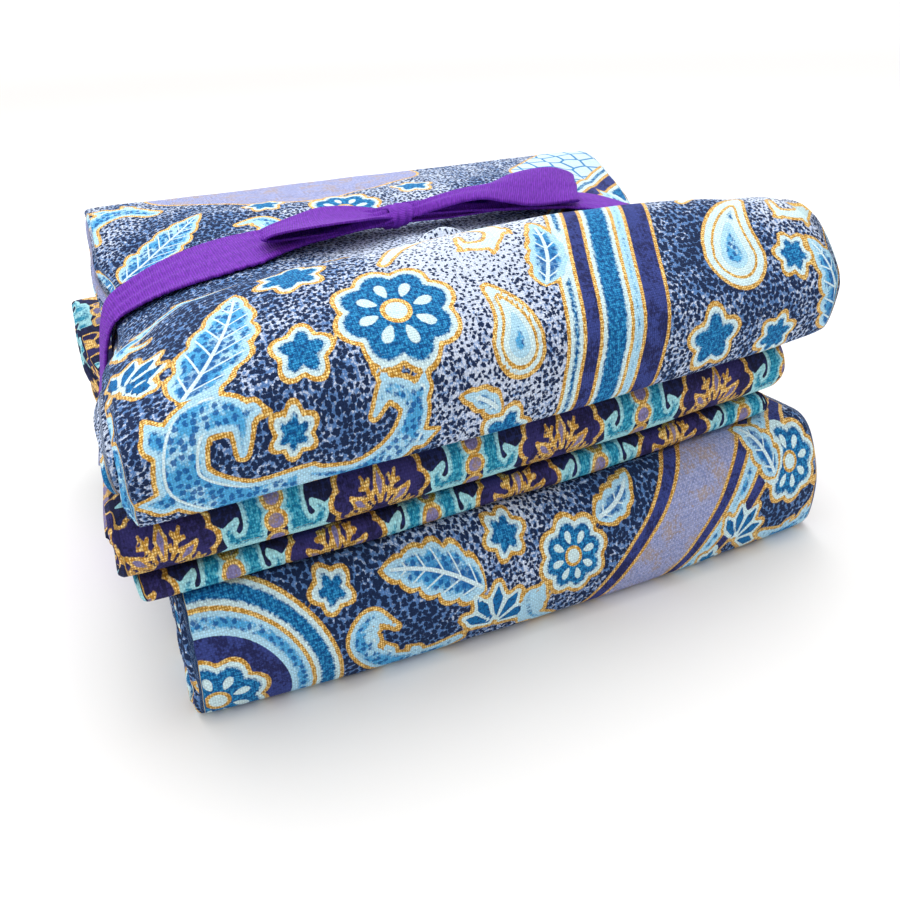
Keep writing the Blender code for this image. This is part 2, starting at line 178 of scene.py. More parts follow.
meshing = {
    "fineAcross": {"packet_bottom": 214, "packet_middle": 330, "packet_top": 214},  # points over the width
    "plainAcross": 60,
    "fineSpacing": 0.9,  # rows closer than this are fine
    "edgeLobes": 2,  # ply bundles that show in one layer's side end
    "lobeSteps": 6,
    "edgeRound": 0.75,  # side ends bulge by this share of half the layer
    "edgeGroove": 0.55,
    "edgeWander": 0.9,
    "edgeSag": (0.12, 70),  # the face drops a little at its side edges
    "lobePrint": (9, 23, 4, 11),  # print at the ends: from the edge, per ply bundle, across it, and along
    "uneven": ((0.22, 34), (0.08, 9)),  # height and length of the broad and the fine waves of the cloth
}

# Creases: from (x, along) to (x, along), width and height of the ridge or trough. Along is measured over
# the cloth from the packet's bottom front fold, up the front and over the top.
creases = {
    "packet_top": [
        (-67, 60, -63, 31, 2.4, -0.9), (-60, 61, -53, 35, 2.6, 0.6),
        (-48, 62, -40, 40, 3.4, -0.5), (-70, 26, -46, 20, 4, -0.5),
        (-10, 60, 3, 60.6, 1.9, 3.2), (66.6, 3, 67.6, 52, 2.4, -1.3),
        (3, 58, 26, 57, 3, 0.6), (22, 62, 30, 48, 4, -0.5),
        (58, 60, 52, 34, 3.2, -0.8), (64, 58, 61, 36, 2.4, 0.5),
        (-30, 7, 34, 10, 4.5, -0.45), (36, 20, 62, 14, 5, -0.5),
        (-64, 93, -57, 122, 2.8, -0.8), (-48, 93, -44, 112, 3.2, 0.4),
        (60, 93, 53, 124, 3, -0.9), (-10, 94, -14, 112, 4, -0.35),
        (-66, 112, 60, 114, 2.2, -0.35),
    ],
    "packet_bottom": [
        (-66, 16, -30, 13, 3, -0.45), (-20, 19, 22, 12, 3.4, -0.6),
        (30, 16, 60, 20, 3, -0.4), (8, 4, 40, 6.5, 2.6, 0.3),
    ],
    "packet_middle": [
        (-60, 6, -36, 7.5, 1.8, -0.4), (-10, 6, 20, 8, 2, -0.4),
        (34, 5, 52, 7, 1.8, -0.35),
    ],
}


def middleLine(packet):  # rows of depth, height, thickness, left, right, spacing
    layers, folds = packet["layers"], packet["folds"]
    rows = []
    start = -stack["depth"] / 2 + 4 if folds[0][0] == "back" else stack["depth"] / 2 - 1
    for index, (layer, fold) in enumerate(zip(layers, folds)):
        height, thick, left, right, spacing = layer
        side, nose, reachLow, reachTop, waistShare, foldSpacing = fold
        following = layers[index + 1] if index + 1 < len(layers) else None
        inward = 1 if side == "front" else -1
        upward = following is not None and following[0] > height
        end = nose + inward * (reachLow if upward else reachTop)
        count = max(2, round(abs(end - start) / spacing))
        for share in np.linspace(0, 1, count + 1):
            rows.append((start + (end - start) * share, height, thick, left, right, spacing))
        if following is None:
            break
        low, high = sorted((height, following[0]))
        waist = low + waistShare * (high - low)
        span = math.hypot(high - low, reachLow + reachTop)
        steps = max(7, round(1.25 * span / foldSpacing))
        turn = []
        for step in range(1, steps):
            angle = math.pi * step / steps
            lower = angle < math.pi / 2
            reach, rise = (reachLow, waist - low) if lower else (reachTop, high - waist)
            turn.append((nose + inward * reach * (1 - math.sin(angle)), waist - rise * math.cos(angle)))
        for step, (depth, up) in enumerate(turn if upward else turn[::-1], 1):
            share = step / steps
            mixed = [a + (b - a) * share for a, b in zip(layer[1:4], following[1:4])]
            rows.append((depth, up, *mixed, foldSpacing))
        start = nose + inward * (reachTop if upward else reachLow)
    return np.array(rows)


def lineNormals(a, b):
    run, rise = np.gradient(a), np.gradient(b)
    length = np.hypot(run, rise) + 1e-9
    return -rise / length, run / length


def settle(packet, x, depth, height):  # lays the flat section into the stack, as the solids do
    turn = math.sin(math.radians(packet["turn"]))
    half = stack["depth"] / 2
    frontShare = unit(-depth / half) ** 2
    depth = depth - packet["bow"] * frontShare * (1 - (x / (stack["width"] / 2)) ** 2)
    sideShare = unit(np.abs(x) / (stack["width"] / 2)) ** 6
    x = x - np.sign(x) * pull["nip"] * sideShare * eased(depth, flatHalf, pull["troughFade"])
    away = unit((np.abs(depth) - grooveHalf) / turnFade)
    away = away * away * (3 - 2 * away)
    leanLeft, leanRight = packet["lean"]
    lean = leanLeft + (leanRight - leanLeft) * (0.5 + x / stack["width"])
    worldX = packet["centre"][0] + x + lean * depth / stack["depth"]
    worldY = depth + away * (packet["centre"][1] + x * turn)
    under, over = packet["seams"]
    share = height / packet["height"]
    if under is None:
        floor = pull["groove"] * eased(worldY, flatHalf, grooveHalf - flatHalf)
        floor = floor * unit(1 - share * 2)
    else:
        floor = seamHeight(under, worldX, worldY) + stack["air"] / 2
    if over is None:
        ceiling = topHeight(worldX, worldY)
    else:
        ceiling = seamHeight(over, worldX, worldY) - stack["air"] / 2
    return np.stack([worldX, worldY, floor + share * (ceiling - floor)], axis=-1)


def relief(name, x, along, depth):  # ridges, troughs and soft unevenness on the face of the cloth
    (broad, broadLength), (fine, fineLength) = meshing["uneven"]
    height = broad * waves(x, along, 2 + len(name), broadLength) + fine * waves(x, along, 5, fineLength)
    for x0, along0, x1, along1, wide, tall in creases[name]:
        dx, dy = x1 - x0, along1 - along0
        length = dx * dx + dy * dy
        t = ((x - x0) * dx + (along - along0) * dy) / length
        away = np.hypot(x - x0 - unit(t) * dx, along - along0 - unit(t) * dy)
        taper = np.sin(np.pi * unit(t) * 0.92 + 0.12)
        height = height + tall * unit(taper) * np.exp(-((away / wide) ** 2))
    edgeX, edgeFront, edgeBack = np.array(bandEdges).T
    pressed = np.interp(x, edgeX, -edgeFront if depth < 0 else edgeBack) + 0.6
    return height * (1 - eased(depth, pressed, 3.5))  # the ribbon presses the cloth flat


def bridge(first, second):  # triangles between two rows of points, whatever their counts
    faces = []
    a, b = 0, 0
    while a < len(first) - 1 or b < len(second) - 1:
        nextA = (a + 1) / max(len(first) - 1, 1)
        nextB = (b + 1) / max(len(second) - 1, 1)
        if b == len(second) - 1 or (a < len(first) - 1 and nextA <= nextB):
            faces.append((first[a], first[a + 1], second[b]))
            a += 1
        else:
            faces.append((first[a], second[b + 1], second[b]))
            b += 1
    return faces


def quads(first, second):  # faces between two equal rows, as lists of corners
    first, second = np.asarray(first), np.asarray(second)
    return np.stack([first[:-1], first[1:], second[1:], second[:-1]], axis=1).tolist()


def joinRows(first, second):
    return quads(first, second) if len(first) == len(second) else bridge(first, second)


def meshPiece(name, points, faces):  # a smooth mesh object with its faces pointing out
    points = placed(points)
    mesh = bpy.data.meshes.new(name)
    mesh.from_pydata(points.tolist(), [], faces)
    shape = bmesh.new()
    shape.from_mesh(mesh)
    bmesh.ops.recalc_face_normals(shape, faces=shape.faces[:])
    if shape.calc_volume(signed=True) < 0:
        bmesh.ops.reverse_faces(shape, faces=shape.faces[:])
    shape.to_mesh(mesh)
    shape.free()
    mesh.shade_smooth()
    piece = bpy.data.objects.new(name, mesh)
    bpy.context.scene.collection.objects.link(piece)
    return piece


def foldedCloth(name, title):  # one cut of cotton, folded back and forth
    packet = packets[name]
    depth, height, thick, left, right, spacing = middleLine(packet).T
    backness = unit(depth / stack["depth"] + 0.5)
    left = left + (packet["leftAtBack"] - left) * backness
    normalY, normalZ = lineNormals(depth, height)
    centreLine = settle(packet, np.zeros_like(depth), depth, height)
    walked = lengthsAlong(centreLine)
    faceFold = packet["folds"][packet["faceFold"]]
    bottomDepth = faceFold[1] + faceFold[2]
    lowerLayer = min(packet["layers"][packet["faceFold"]][0], packet["layers"][packet["faceFold"] + 1][0])
    start = np.argmin(np.abs(depth - bottomDepth) + 3 * np.abs(height - lowerLayer))
    along = packet["faceSign"] * (walked - walked[start])
    points, faces, printU, printS = [], [], [], []
    rows = []
    count = 0
    seed = 1 + list(packets).index(name)
    lobes, lobeSteps = meshing["edgeLobes"], meshing["lobeSteps"]
    sag, sagRate = meshing["edgeSag"]
    inward, perLobe, inLobeShift, alongLobe = meshing["lobePrint"]
    edgeShares = np.linspace(1, -1, lobes * lobeSteps + 1)[1:-1]
    for index in range(len(depth)):
        half = thick[index] / 2
        inset = half * meshing["edgeRound"]
        fine = spacing[index] < meshing["fineSpacing"]
        row = {}
        parts = []
        # At the two ends of the cut the print goes on over its edge
        beyond = packet["faceSign"] * thick[index] * (float(index == len(depth) - 1) - float(index == 0))
        for sign, label in ((1, "plus"), (-1, "minus")):
            isFace = sign == packet["faceSign"]
            across = meshing["fineAcross"][name] if fine and isFace else meshing["plainAcross"]
            share = np.linspace(0, 1, across)
            x = left[index] + inset + (right[index] - left[index] - 2 * inset) * share
            lift = half + np.zeros_like(x)
            if isFace:
                lift = lift + relief(name, x, along[index], depth[index])
            lift = lift - sag * half * np.exp(-np.minimum(share, 1 - share) * sagRate)
            spot = settle(packet, x, depth[index] + sign * normalY[index] * lift,
                          height[index] + sign * normalZ[index] * lift)
            parts.append((label, spot, x, np.full_like(x, along[index] + (0 if isFace else beyond))))
        for sideSign, label in ((-1, "leftEnd"), (1, "rightEnd")):
            h = edgeShares * half
            lobe = np.floor((1 - edgeShares) / 2 * lobes - 1e-6)
            inLobe = (1 - edgeShares) / 2 * lobes - lobe
            bulge = inset * np.sqrt(unit(1 - edgeShares**2))
            groove = np.abs(np.cos(np.pi * inLobe)) ** 3 * (1 - np.abs(edgeShares) ** 4)
            groove = meshing["edgeGroove"] * groove
            wander = waves(np.full_like(h, depth[index]), lobe * 37 + height[index] * 5, seed + sideSign, 31)
            wander = meshing["edgeWander"] * wander
            end = left[index] if sideSign < 0 else right[index]
            x = end - sideSign * inset + sideSign * (bulge - groove + wander * np.sqrt(1 - edgeShares**2))
            spot = settle(packet, x, depth[index] + normalY[index] * h, height[index] + normalZ[index] * h)
            u = end - sideSign * (inward + perLobe * lobe + inLobeShift * inLobe)
            parts.append((label, spot, u, np.full_like(h, along[index] + alongLobe * lobe)))
        for label, spot, u, s in parts:
            row[label] = list(range(count, count + len(spot)))
            count += len(spot)
            points.append(spot)
            printU.append(u)
            printS.append(s)
        rows.append(row)

    def around(row):  # the four stretches of one row, in order round the sheet
        plus, minus = row["plus"], row["minus"]
        return [plus, [plus[-1], *row["rightEnd"], minus[-1]],
                minus[::-1], [minus[0], *row["leftEnd"][::-1], plus[0]]]

    for before, after in zip(rows[:-1], rows[1:]):
        for first, second in zip(around(before), around(after)):
            faces += joinRows(first, second)
    for row, flip in ((rows[0], False), (rows[-1], True)):
        closing = bridge(row["plus"], row["minus"])
        for label, edge in (("leftEnd", 0), ("rightEnd", -1)):
            closing.append([row["plus"][edge], *row[label], row["minus"][edge]])
        faces += [list(face)[::-1] if flip else list(face) for face in closing]
    piece = meshPiece(title, np.vstack(points), faces)
    return piece, np.concatenate(printU), np.concatenate(printS), float(walked[-1])


def lengthsAlong(points):  # how far each point of a line lies from its start
    return np.concatenate([[0], np.cumsum(np.linalg.norm(np.diff(points, axis=0), axis=1))])


def splineRows(rows, steps):  # a smooth line through rows of numbers
    rows = np.array(rows, float)
    padded = np.vstack([2 * rows[0] - rows[1], rows, 2 * rows[-1] - rows[-2]])
    points = []
    for index in range(1, len(rows)):
        a, b, c, d = padded[index - 1:index + 3]
        for step in range(steps):
            t = step / steps
            points.append(0.5 * (2 * b + (c - a) * t + (2 * a - 5 * b + 4 * c - d) * t**2
                                 + (3 * b - a - 3 * c + d) * t**3))
    points.append(rows[-1])
    return np.array(points)


# Print. Each printed colour and line is kept as a distance in millimetres to its edge, negative inside,
# so that the material draws it sharper than the mesh is. Lines lie on three levels, and a shape hides
# the lines of the levels below it.
printColours = ("lilac", "comb", "indigo", "blue", "sky", "teal", "ice")
printLines = ("backLine", "middleLine", "frontLine")
printCovers = ("overBack", "overMiddle")
printPlaces = ("leafAlong", "leafSide", "petalX", "petalY")
farOff = 9
noPlace = 60


def newPrint(u, s):
    fields = {name: np.full_like(u, farOff) for name in (*printColours, *printLines, *printCovers)}
    places = {name: np.full_like(u, noPlace) for name in printPlaces}
    return {"u": u, "s": s, **fields, **places}


def nearBy(fields, centre, reach):
    return (np.abs(fields["u"] - centre[0]) < reach) & (np.abs(fields["s"] - centre[1]) < reach)


def ink(fields, colour, shape, centre, reach, level=1, gold=1, inner=False):
    # gold scales the line round the shape, and 0 leaves it out. An inner shape lies within the one before.
    near = nearBy(fields, centre, reach)
    found = shape(fields["u"][near], fields["s"][near])
    edge = found[0] if isinstance(found, tuple) else found
    for name in printColours:
        fields[name][near] = np.maximum(fields[name][near], -edge)
    fields[colour][near] = np.minimum(fields[colour][near], edge)
    for name in () if inner else printCovers[:level]:
        fields[name][near] = np.minimum(fields[name][near], edge)
    if gold:
        old = fields[printLines[level]][near]
        new = np.maximum(old, -edge / gold) if inner else np.minimum(old, edge / gold)
        fields[printLines[level]][near] = new
    if isinstance(found, tuple):
        for name, place in zip(printPlaces[:2], found[1:]):
            fields[name][near] = np.where(edge < 1, place, fields[name][near])


def turned(u, s, centre, degrees):
    angle = math.radians(degrees)
    du, ds = u - centre[0], s - centre[1]
    return du * math.cos(angle) + ds * math.sin(angle), -du * math.sin(angle) + ds * math.cos(angle)


def strokeField(u, s, spine, radii):  # distance to a stroke that swells and tapers, and the place on it
    best = np.full_like(u, farOff)
    along, side = np.full_like(u, noPlace), np.full_like(u, noPlace)
    walked = 0
    for (ax, ay), (bx, by), ra, rb in zip(spine[:-1], spine[1:], radii[:-1], radii[1:]):
        dx, dy = bx - ax, by - ay
        length = math.hypot(dx, dy) + 1e-9
        t = unit(((u - ax) * dx + (s - ay) * dy) / length**2)
        offX, offY = u - ax - t * dx, s - ay - t * dy
        edge = np.hypot(offX, offY) - ra - (rb - ra) * t
        closer = edge < best
        best = np.where(closer, edge, best)
        along = np.where(closer, walked + t * length, along)
        side = np.where(closer, (dx * offY - dy * offX) / length, side)
        walked += length
    return best, along, side


def leaf(fields, centre, length, width, degrees, lobes=5, level=1, gold=1, colour="sky"):
    def shape(u, s):
        a, b = turned(u, s, centre, degrees)
        b = b + 0.09 * length * np.cos(np.pi * np.clip(a / length, -0.6, 0.6))
        t = unit(a / length + 0.5)
        lobe = 0.72 + 0.28 * np.abs(np.sin(np.pi * (lobes * t - 0.6 * np.abs(b) / width))) ** 0.55
        edge = width / 2 * np.sin(np.pi * t**0.7) ** 0.75 * lobe
        beyond = np.maximum(np.abs(a) - length / 2, 0)
        return np.where(beyond > 0, np.hypot(beyond, b), (np.abs(b) - edge) * 0.8), a + length / 2, b
    ink(fields, colour, shape, centre, 0.6 * length + 3, level, gold)


def scroll(fields, points, widest, lobes, hand, level=1, gold=1, colour="sky"):
    # a leafy scroll: a stem that swells and tapers, with pointed lobes on one side
    spine = splineRows(points, 8)
    share = np.linspace(0, 1, len(spine))
    swell = np.sin(np.pi * unit(0.1 + 0.8 * share)) ** 1.3
    radii = widest * (0.2 + 0.8 * swell) * (1.1 - 0.5 * share)
    branches = []
    for lobe in range(lobes):
        at = int(round((0.16 + 0.74 * (lobe + 0.5) / lobes) * (len(spine) - 1)))
        ahead = spine[at + 1] - spine[at - 1]
        ahead /= np.linalg.norm(ahead)
        outward = hand * np.array([-ahead[1], ahead[0]])
        tip = spine[at] + radii[at] * (1.75 * outward + 1.2 * ahead)
        middle = spine[at] + radii[at] * (outward + 0.3 * ahead)
        branches.append(([spine[at], middle, tip], [0.75 * radii[at], 0.62 * radii[at], 0.15]))

    def shape(u, s):
        edge, along, side = strokeField(u, s, spine, radii)
        for line, sizes in branches:
            edge = np.minimum(edge, strokeField(u, s, line, sizes)[0])
        return edge, np.where(along < noPlace, 58.3, along), side  # veins run lengthwise, near its edges
    middle = (spine.min(0) + spine.max(0)) / 2
    reach = np.abs(spine - middle).max() + 3 * widest + 2
    ink(fields, colour, shape, tuple(middle), reach, level, gold)


def flowerShape(centre, radius, points, depth, degrees, sharp, squash=1):
    def shape(u, s):
        a, b = turned(u, s, centre, degrees)
        b = b * squash
        wave = np.abs(np.cos(points * np.arctan2(b, a) / 2)) ** sharp
        return (np.hypot(a, b) - radius * (1 - depth * (1 - wave))) * 0.85 / math.sqrt(squash)
    return shape


def star(fields, centre, radius, points=6, degrees=0, level=1, colour="teal"):
    ink(fields, colour, flowerShape(centre, radius, points, 0.3, degrees, 1.4), centre, radius + 4, level)


def blossom(fields, centre, radius, degrees=0, level=1):  # lobed, with pale petals round a ring
    ink(fields, "teal", flowerShape(centre, radius, 8, 0.17, degrees, 0.9), centre, radius + 4, level)
    near = nearBy(fields, centre, radius)
    a, b = turned(fields["u"][near], fields["s"][near], centre, degrees)
    here = np.hypot(a, b) < 0.85 * radius
    fields["petalX"][near] = np.where(here, a / radius, fields["petalX"][near])
    fields["petalY"][near] = np.where(here, b / radius, fields["petalY"][near])


def palmette(fields, centre, size, degrees, level=1):  # a fan of pale petals with dark cores
    fans = []
    for turn in (-68, -34, 0, 34, 68):
        angle = math.radians(degrees + turn)
        ahead = np.array([math.cos(angle), math.sin(angle)])
        far = size * (1 - 0.0022 * abs(turn))
        fans.append(([np.array(centre) + ahead * far * part for part in (0.15, 0.62, 0.9)],
                     [0.1 * size, 0.24 * size, 0.12 * size]))

    def fan(u, s, shrink=0):
        edges = [strokeField(u, s, line, [max(r - shrink, 0.1) for r in sizes])[0] for line, sizes in fans]
        return np.minimum.reduce(edges)
    ink(fields, "ice", fan, centre, 1.4 * size, level)
    ink(fields, "blue", lambda u, s: fan(u, s, 0.12 * size), centre, 1.3 * size, level, 0, inner=True)


def drop(fields, centre, size, degrees, hand=1, level=1):  # a paisley drop with a smaller one inside
    angle = math.radians(degrees)
    spine, radii = [], []
    for share in np.linspace(0, 1, 13):
        a, b = 1.5 * size * share, hand * 0.9 * size * share**2
        spine.append((centre[0] + a * math.cos(angle) - b * math.sin(angle),
                      centre[1] + a * math.sin(angle) + b * math.cos(angle)))
        radii.append(size * (0.64 * (1 - share) ** 0.75 + 0.03))
    for colour, taken, inner in (("ice", 0, False), ("teal", 0.2, True), ("sky", 0.38, True)):
        sizes = [radius - taken * size for radius in radii if radius > (taken + 0.05) * size]

        def shape(u, s, sizes=sizes):
            return strokeField(u, s, spine[:len(sizes)], sizes)[0]
        gold = 1 if not inner else 0.75 if colour == "teal" else 0
        ink(fields, colour, shape, centre, 2.6 * size, level, gold, inner)


def stripes(fields, coordinate, start, rows, level=1):  # bands side by side, an odd number of them
    borders = start + np.concatenate([[0], np.cumsum([width for _, width in rows])])
    across = coordinate(fields["u"], fields["s"])
    for index, (colour, width) in enumerate(rows):
        edge = np.abs(across - (borders[index] + borders[index + 1]) / 2) - width / 2
        for name in printColours:
            fields[name] = np.maximum(fields[name], -edge)
        fields[colour] = np.minimum(fields[colour], edge)
    away = np.abs(across[:, None] - borders[None, :]).min(axis=1)
    crossed = (across[:, None] > borders[None, :]).sum(axis=1)
    line = printLines[level]
    fields[line] = np.minimum(fields[line], np.where(crossed % 2 == 1, -away, away))
    whole = np.abs(across - (borders[0] + borders[-1]) / 2) - (borders[-1] - borders[0]) / 2
    for name in printCovers[:level]:
        fields[name] = np.minimum(fields[name], whole)


def patch(fields, colour, spine, radii):
    ink(fields, colour, lambda u, s: strokeField(u, s, spine, radii)[0], spine[0], 90, 0)


def mirroredRepeat(u, s, repeat):  # every second repeat is turned over
    return newPrint(u, repeat - np.abs(np.mod(s, 2 * repeat) - repeat))


def largePrint(u, s):  # top packet
    fields = mirroredRepeat(u, s, 150)
    patch(fields, "lilac", [(-46, 132), (-20, 119), (4, 126)], [12, 13, 9])
    patch(fields, "comb", [(46, 108), (62, 122)], [11, 12])
    stripes(fields, lambda a, b: np.hypot(a - 170, b + 20), 149,
            [("indigo", 5.2), ("sky", 2.6), ("teal", 6.4), ("indigo", 3.4), ("teal", 3.2)])
    # left of the bands
    for motif, *place in (
        (scroll, [(-44, 2), (-55, 1), (-63, 7), (-61, 15), (-54, 14), (-54, 9)], 4.6, 5, 1),
        (scroll, [(-44, 2), (-36, 0), (-29, 3), (-26, 9), (-30, 12), (-33, 9)], 3.2, 4, -1),
        (leaf, (-55, 30), 25, 13, 60, 5), (palmette, (-70, 30), 9, 30),
        (blossom, (-25, 24), 11, 12), (star, (-42, 20), 5.2, 5, 8), (star, (-39, 41), 6.6, 6, 12),
        (scroll, [(-23, 37), (-18, 43), (-11, 46.5), (-4, 45), (-0.5, 40), (-3, 35.5),
                  (-7.5, 36.5), (-7.5, 40)], 2.3, 6, 1, 1, 1, "ice"),
        (drop, (-6, 14), 7, 72, 1), (star, (-9, 0), 5.4, 5, 0), (star, (2, 49), 5.4, 6, 4),
        (leaf, (5, 31), 17, 8, 76, 5), (star, (-46, 9.5), 4, 6, 20),
        (leaf, (-14, 6.5), 9, 4.6, 150, 3), (leaf, (-26, 54), 15, 7, 176, 4),
        (scroll, [(-48, 50), (-57, 54), (-66, 51), (-69, 45), (-64, 43)], 3, 4, -1),
        # right of the bands
        (drop, (44, 21), 10, 84, -1), (star, (35, 7), 6.2, 5, 20), (star, (51, 4), 5, 6, 15),
        (scroll, [(41, 37), (48, 42), (57, 42.5), (65, 38), (68, 31), (64.5, 26),
                  (59.5, 27.5), (60, 32)], 2.6, 6, 1, 1, 1, "ice"),
        (leaf, (64, 11), 20, 10, 104, 5), (leaf, (50, 53), 20, 8, 8, 5),
        (star, (57, 18), 4.6, 6, 40),
        # behind the ribbon
        (leaf, (-58, 100), 27, 13, 34, 6),
        (scroll, [(-50, 88), (-40, 86), (-32, 91), (-34, 98), (-40, 97)], 3.2, 4, 1),
        (scroll, [(-56, 118), (-64, 122), (-71, 118), (-70, 111)], 3.2, 4, -1),
        (blossom, (-14, 99), 9, 10), (star, (-32, 108), 5, 6, 0), (star, (6, 108), 5.6, 5, 15),
        (leaf, (4, 91), 17, 8, 160, 4), (star, (44, 91), 5.6, 6, 15, 2),
        (leaf, (62, 92), 20, 10, 120, 5),
    ):
        motif(fields, *place)
    return fields


def frontPrint(u, s):  # bottom packet: another part of the same cloth
    fields = mirroredRepeat(u, s, 150)
    stripes(fields, lambda a, b: (a - 0.95 * b) / math.hypot(1, 0.95), 3,
            [("indigo", 3), ("lilac", 11), ("indigo", 2.8), ("sky", 3.4), ("indigo", 3)])
    for colour, radius, inner in (("teal", 21.5, False), ("sky", 16.6, True), ("indigo", 12.6, True)):
        ink(fields, colour, lambda a, b, radius=radius: np.hypot(a + 66, b - 4) - radius,
            (-66, 4), 30, 1, 1, inner)
    for motif, *place in (
        (blossom, (-66, 4), 9, 15, 2),
        (scroll, [(-22, 3), (-29, 1), (-37, 3), (-41, 9), (-38, 13), (-34, 10)], 2.8, 5, -1),
        (leaf, (-26, 16), 20, 10, 158, 5), (palmette, (-15, 4), 9, 84),
        (star, (-11, 20), 4.4, 6, 10), (star, (-44, 19), 4, 5, 40), (blossom, (2, 13), 7.4, 10),
        (leaf, (-7, 6), 10, 5.4, 60, 4),
        (scroll, [(-2, 1), (-7, 3), (-8, 8), (-5, 9)], 1.8, 3, -1),
        (leaf, (13, 21), 12, 6, 30, 4), (palmette, (42, 4), 8.5, 50), (blossom, (56, 16), 7.6, 8),
        (leaf, (48.5, 20), 13, 7, 120, 4, 2),
        (scroll, [(50, 3), (57, 1), (64, 3), (67, 9), (63, 11)], 2.4, 4, 1),
        (star, (36, 1), 3.8, 5, 0),
        # the parts of the cut that show at the back
        (leaf, (-48, 52), 22, 11, 40, 5), (blossom, (-12, 56), 9, 10),
        (star, (20, 48), 5.5, 5, 10),
        (scroll, [(-34, 76), (-24, 82), (-13, 81), (-8, 74), (-12, 69), (-17, 72)], 2.8, 5, 1),
        (drop, (34, 78), 8, 70), (star, (-56, 86), 5.2, 6, 20), (leaf, (8, 94), 20, 10, 150, 5),
        (blossom, (-40, 108), 9, 0), (palmette, (-4, 116), 9, 90), (star, (40, 112), 5.4, 5, 0),
        (leaf, (60, 98), 18, 9, 70, 4), (drop, (-62, 130), 7, 60), (star, (26, 134), 5, 6, 12),
        (leaf, (-20, 138), 18, 8, 10, 4),
    ):
        motif(fields, *place)
    return fields


def borderPrint(u, s):  # middle packet: lobed medallions between leafy scrolls and beads
    repeat, band = 36, 15
    row = np.floor((s + 1.5) / band)
    a = np.mod(u + 9 + 13 * row, repeat) - repeat / 2
    b = np.mod(s + 1.5, band) - band / 2
    fields = newPrint(a, b)
    for hand in (-1, 1):
        for stem, widest, lobes in (
            ([(8.4, 6.8), (11.8, 6.6), (14.6, 3.4), (14.4, -0.8), (11.8, -2.2), (10.4, -0.2), (11.8, 1.2)],
             2.3, 5),
            ([(7.6, -7), (10.8, -5.4), (14.2, -5.6), (16.6, -3.6)], 1.8, 4),
        ):
            scroll(fields, [(hand * x, y) for x, y in stem], widest, lobes, hand, 1, 0, "teal")
    ink(fields, "indigo", flowerShape((0, 0), 8.8, 10, 0.13, 0, 0.7, 1.5), (0, 0), 14, 2, 1.1)
    for turn in (-78, -52, -26, 0, 26, 52, 78):  # a spray of petals and sprigs in gold
        angle = math.radians(90 + turn)
        ahead = np.array([math.cos(angle), math.sin(angle)])
        aside = np.array([-ahead[1], ahead[0]])
        foot = np.array((0, -3.9))
        far = 7.6 - 0.012 * abs(turn)
        petal = int(turn / 26) % 2 == 0
        line = [foot + ahead * far * part for part in (0.34, 0.7, 0.96)]
        sizes = [0.2, 0.8, 0.1] if petal else [0.02, 0.05, 0.02]
        strokes = [(line, sizes)]
        for part in () if petal else (0.5, 0.72):
            for hand in (-1, 1):
                start = foot + ahead * far * part
                strokes.append(([start, start + 0.8 * ahead + hand * 0.95 * aside], [0.02, 0.06]))
        for line, sizes in strokes:
            ink(fields, "lilac" if petal else "indigo",
                lambda p, q, line=line, sizes=sizes: strokeField(p, q, line, sizes)[0],
                (0, 0), 14, 2, 0.9, inner=True)
    for y in (-6, -3, 0, 3, 6):
        ink(fields, "lilac", lambda p, q, y=y: np.hypot((np.abs(p) - repeat / 2) * 0.8, q - y) - 1.3,
            (0, 0), 30, 2, 1)
    return fields


# Where the printed dots close up or thin out: place along and up the cloth, reach, amount
shading = [
    (-58, 38, 26, 0.25), (-30, 2, 20, 0.2), (-2, 54, 20, -0.5), (-8, 32, 14, -0.3),
    (38, 26, 12, 0.25), (24, 46, 14, -0.35), (62, 34, 18, -0.5), (50, 14, 14, 0.25),
    (-50, 96, 22, 0.25), (30, 92, 16, 0.2), (-4, 112, 16, -0.2), (-16, 6, 12, -0.12),
]


def groundTone(u, s):  # 0 where the dots are sparse, 1 where they close up
    tone = 0.6 + 0.2 * waves(u, s, 3, 52) + 0.14 * waves(u, s, 7, 21)
    for placeU, placeS, reach, amount in shading:
        tone = tone + amount * np.exp(-((u - placeU) ** 2 + (s - placeS) ** 2) / reach**2)
    return unit(tone)


def storePlaces(piece, places):  # where each point lies on the flat cloth, in mm
    attribute = piece.data.attributes.new("cloth", "FLOAT_VECTOR", "POINT")
    attribute.data.foreach_set("vector", np.ascontiguousarray(places, dtype=np.float32).ravel())


def storePrint(piece, u, s, fields, deeper):
    values = {name: fields[name] for name in (*printColours, *printLines, *printCovers, *printPlaces)}
    values["tone"] = unit(groundTone(u, s) + deeper)
    for name, numbers in values.items():
        attribute = piece.data.attributes.new(name, "FLOAT", "POINT")
        attribute.data.foreach_set("value", np.ascontiguousarray(numbers, dtype=np.float32))
    storePlaces(piece, np.stack([u, s, 0 * u], axis=1))


def shade(hexColour):  # sRGB hex to linear colour
    values = [int(hexColour[i:i + 2], 16) / 255 for i in (1, 3, 5)]
    return (*[v / 12.92 if v <= 0.04045 else ((v + 0.055) / 1.055) ** 2.4 for v in values], 1)


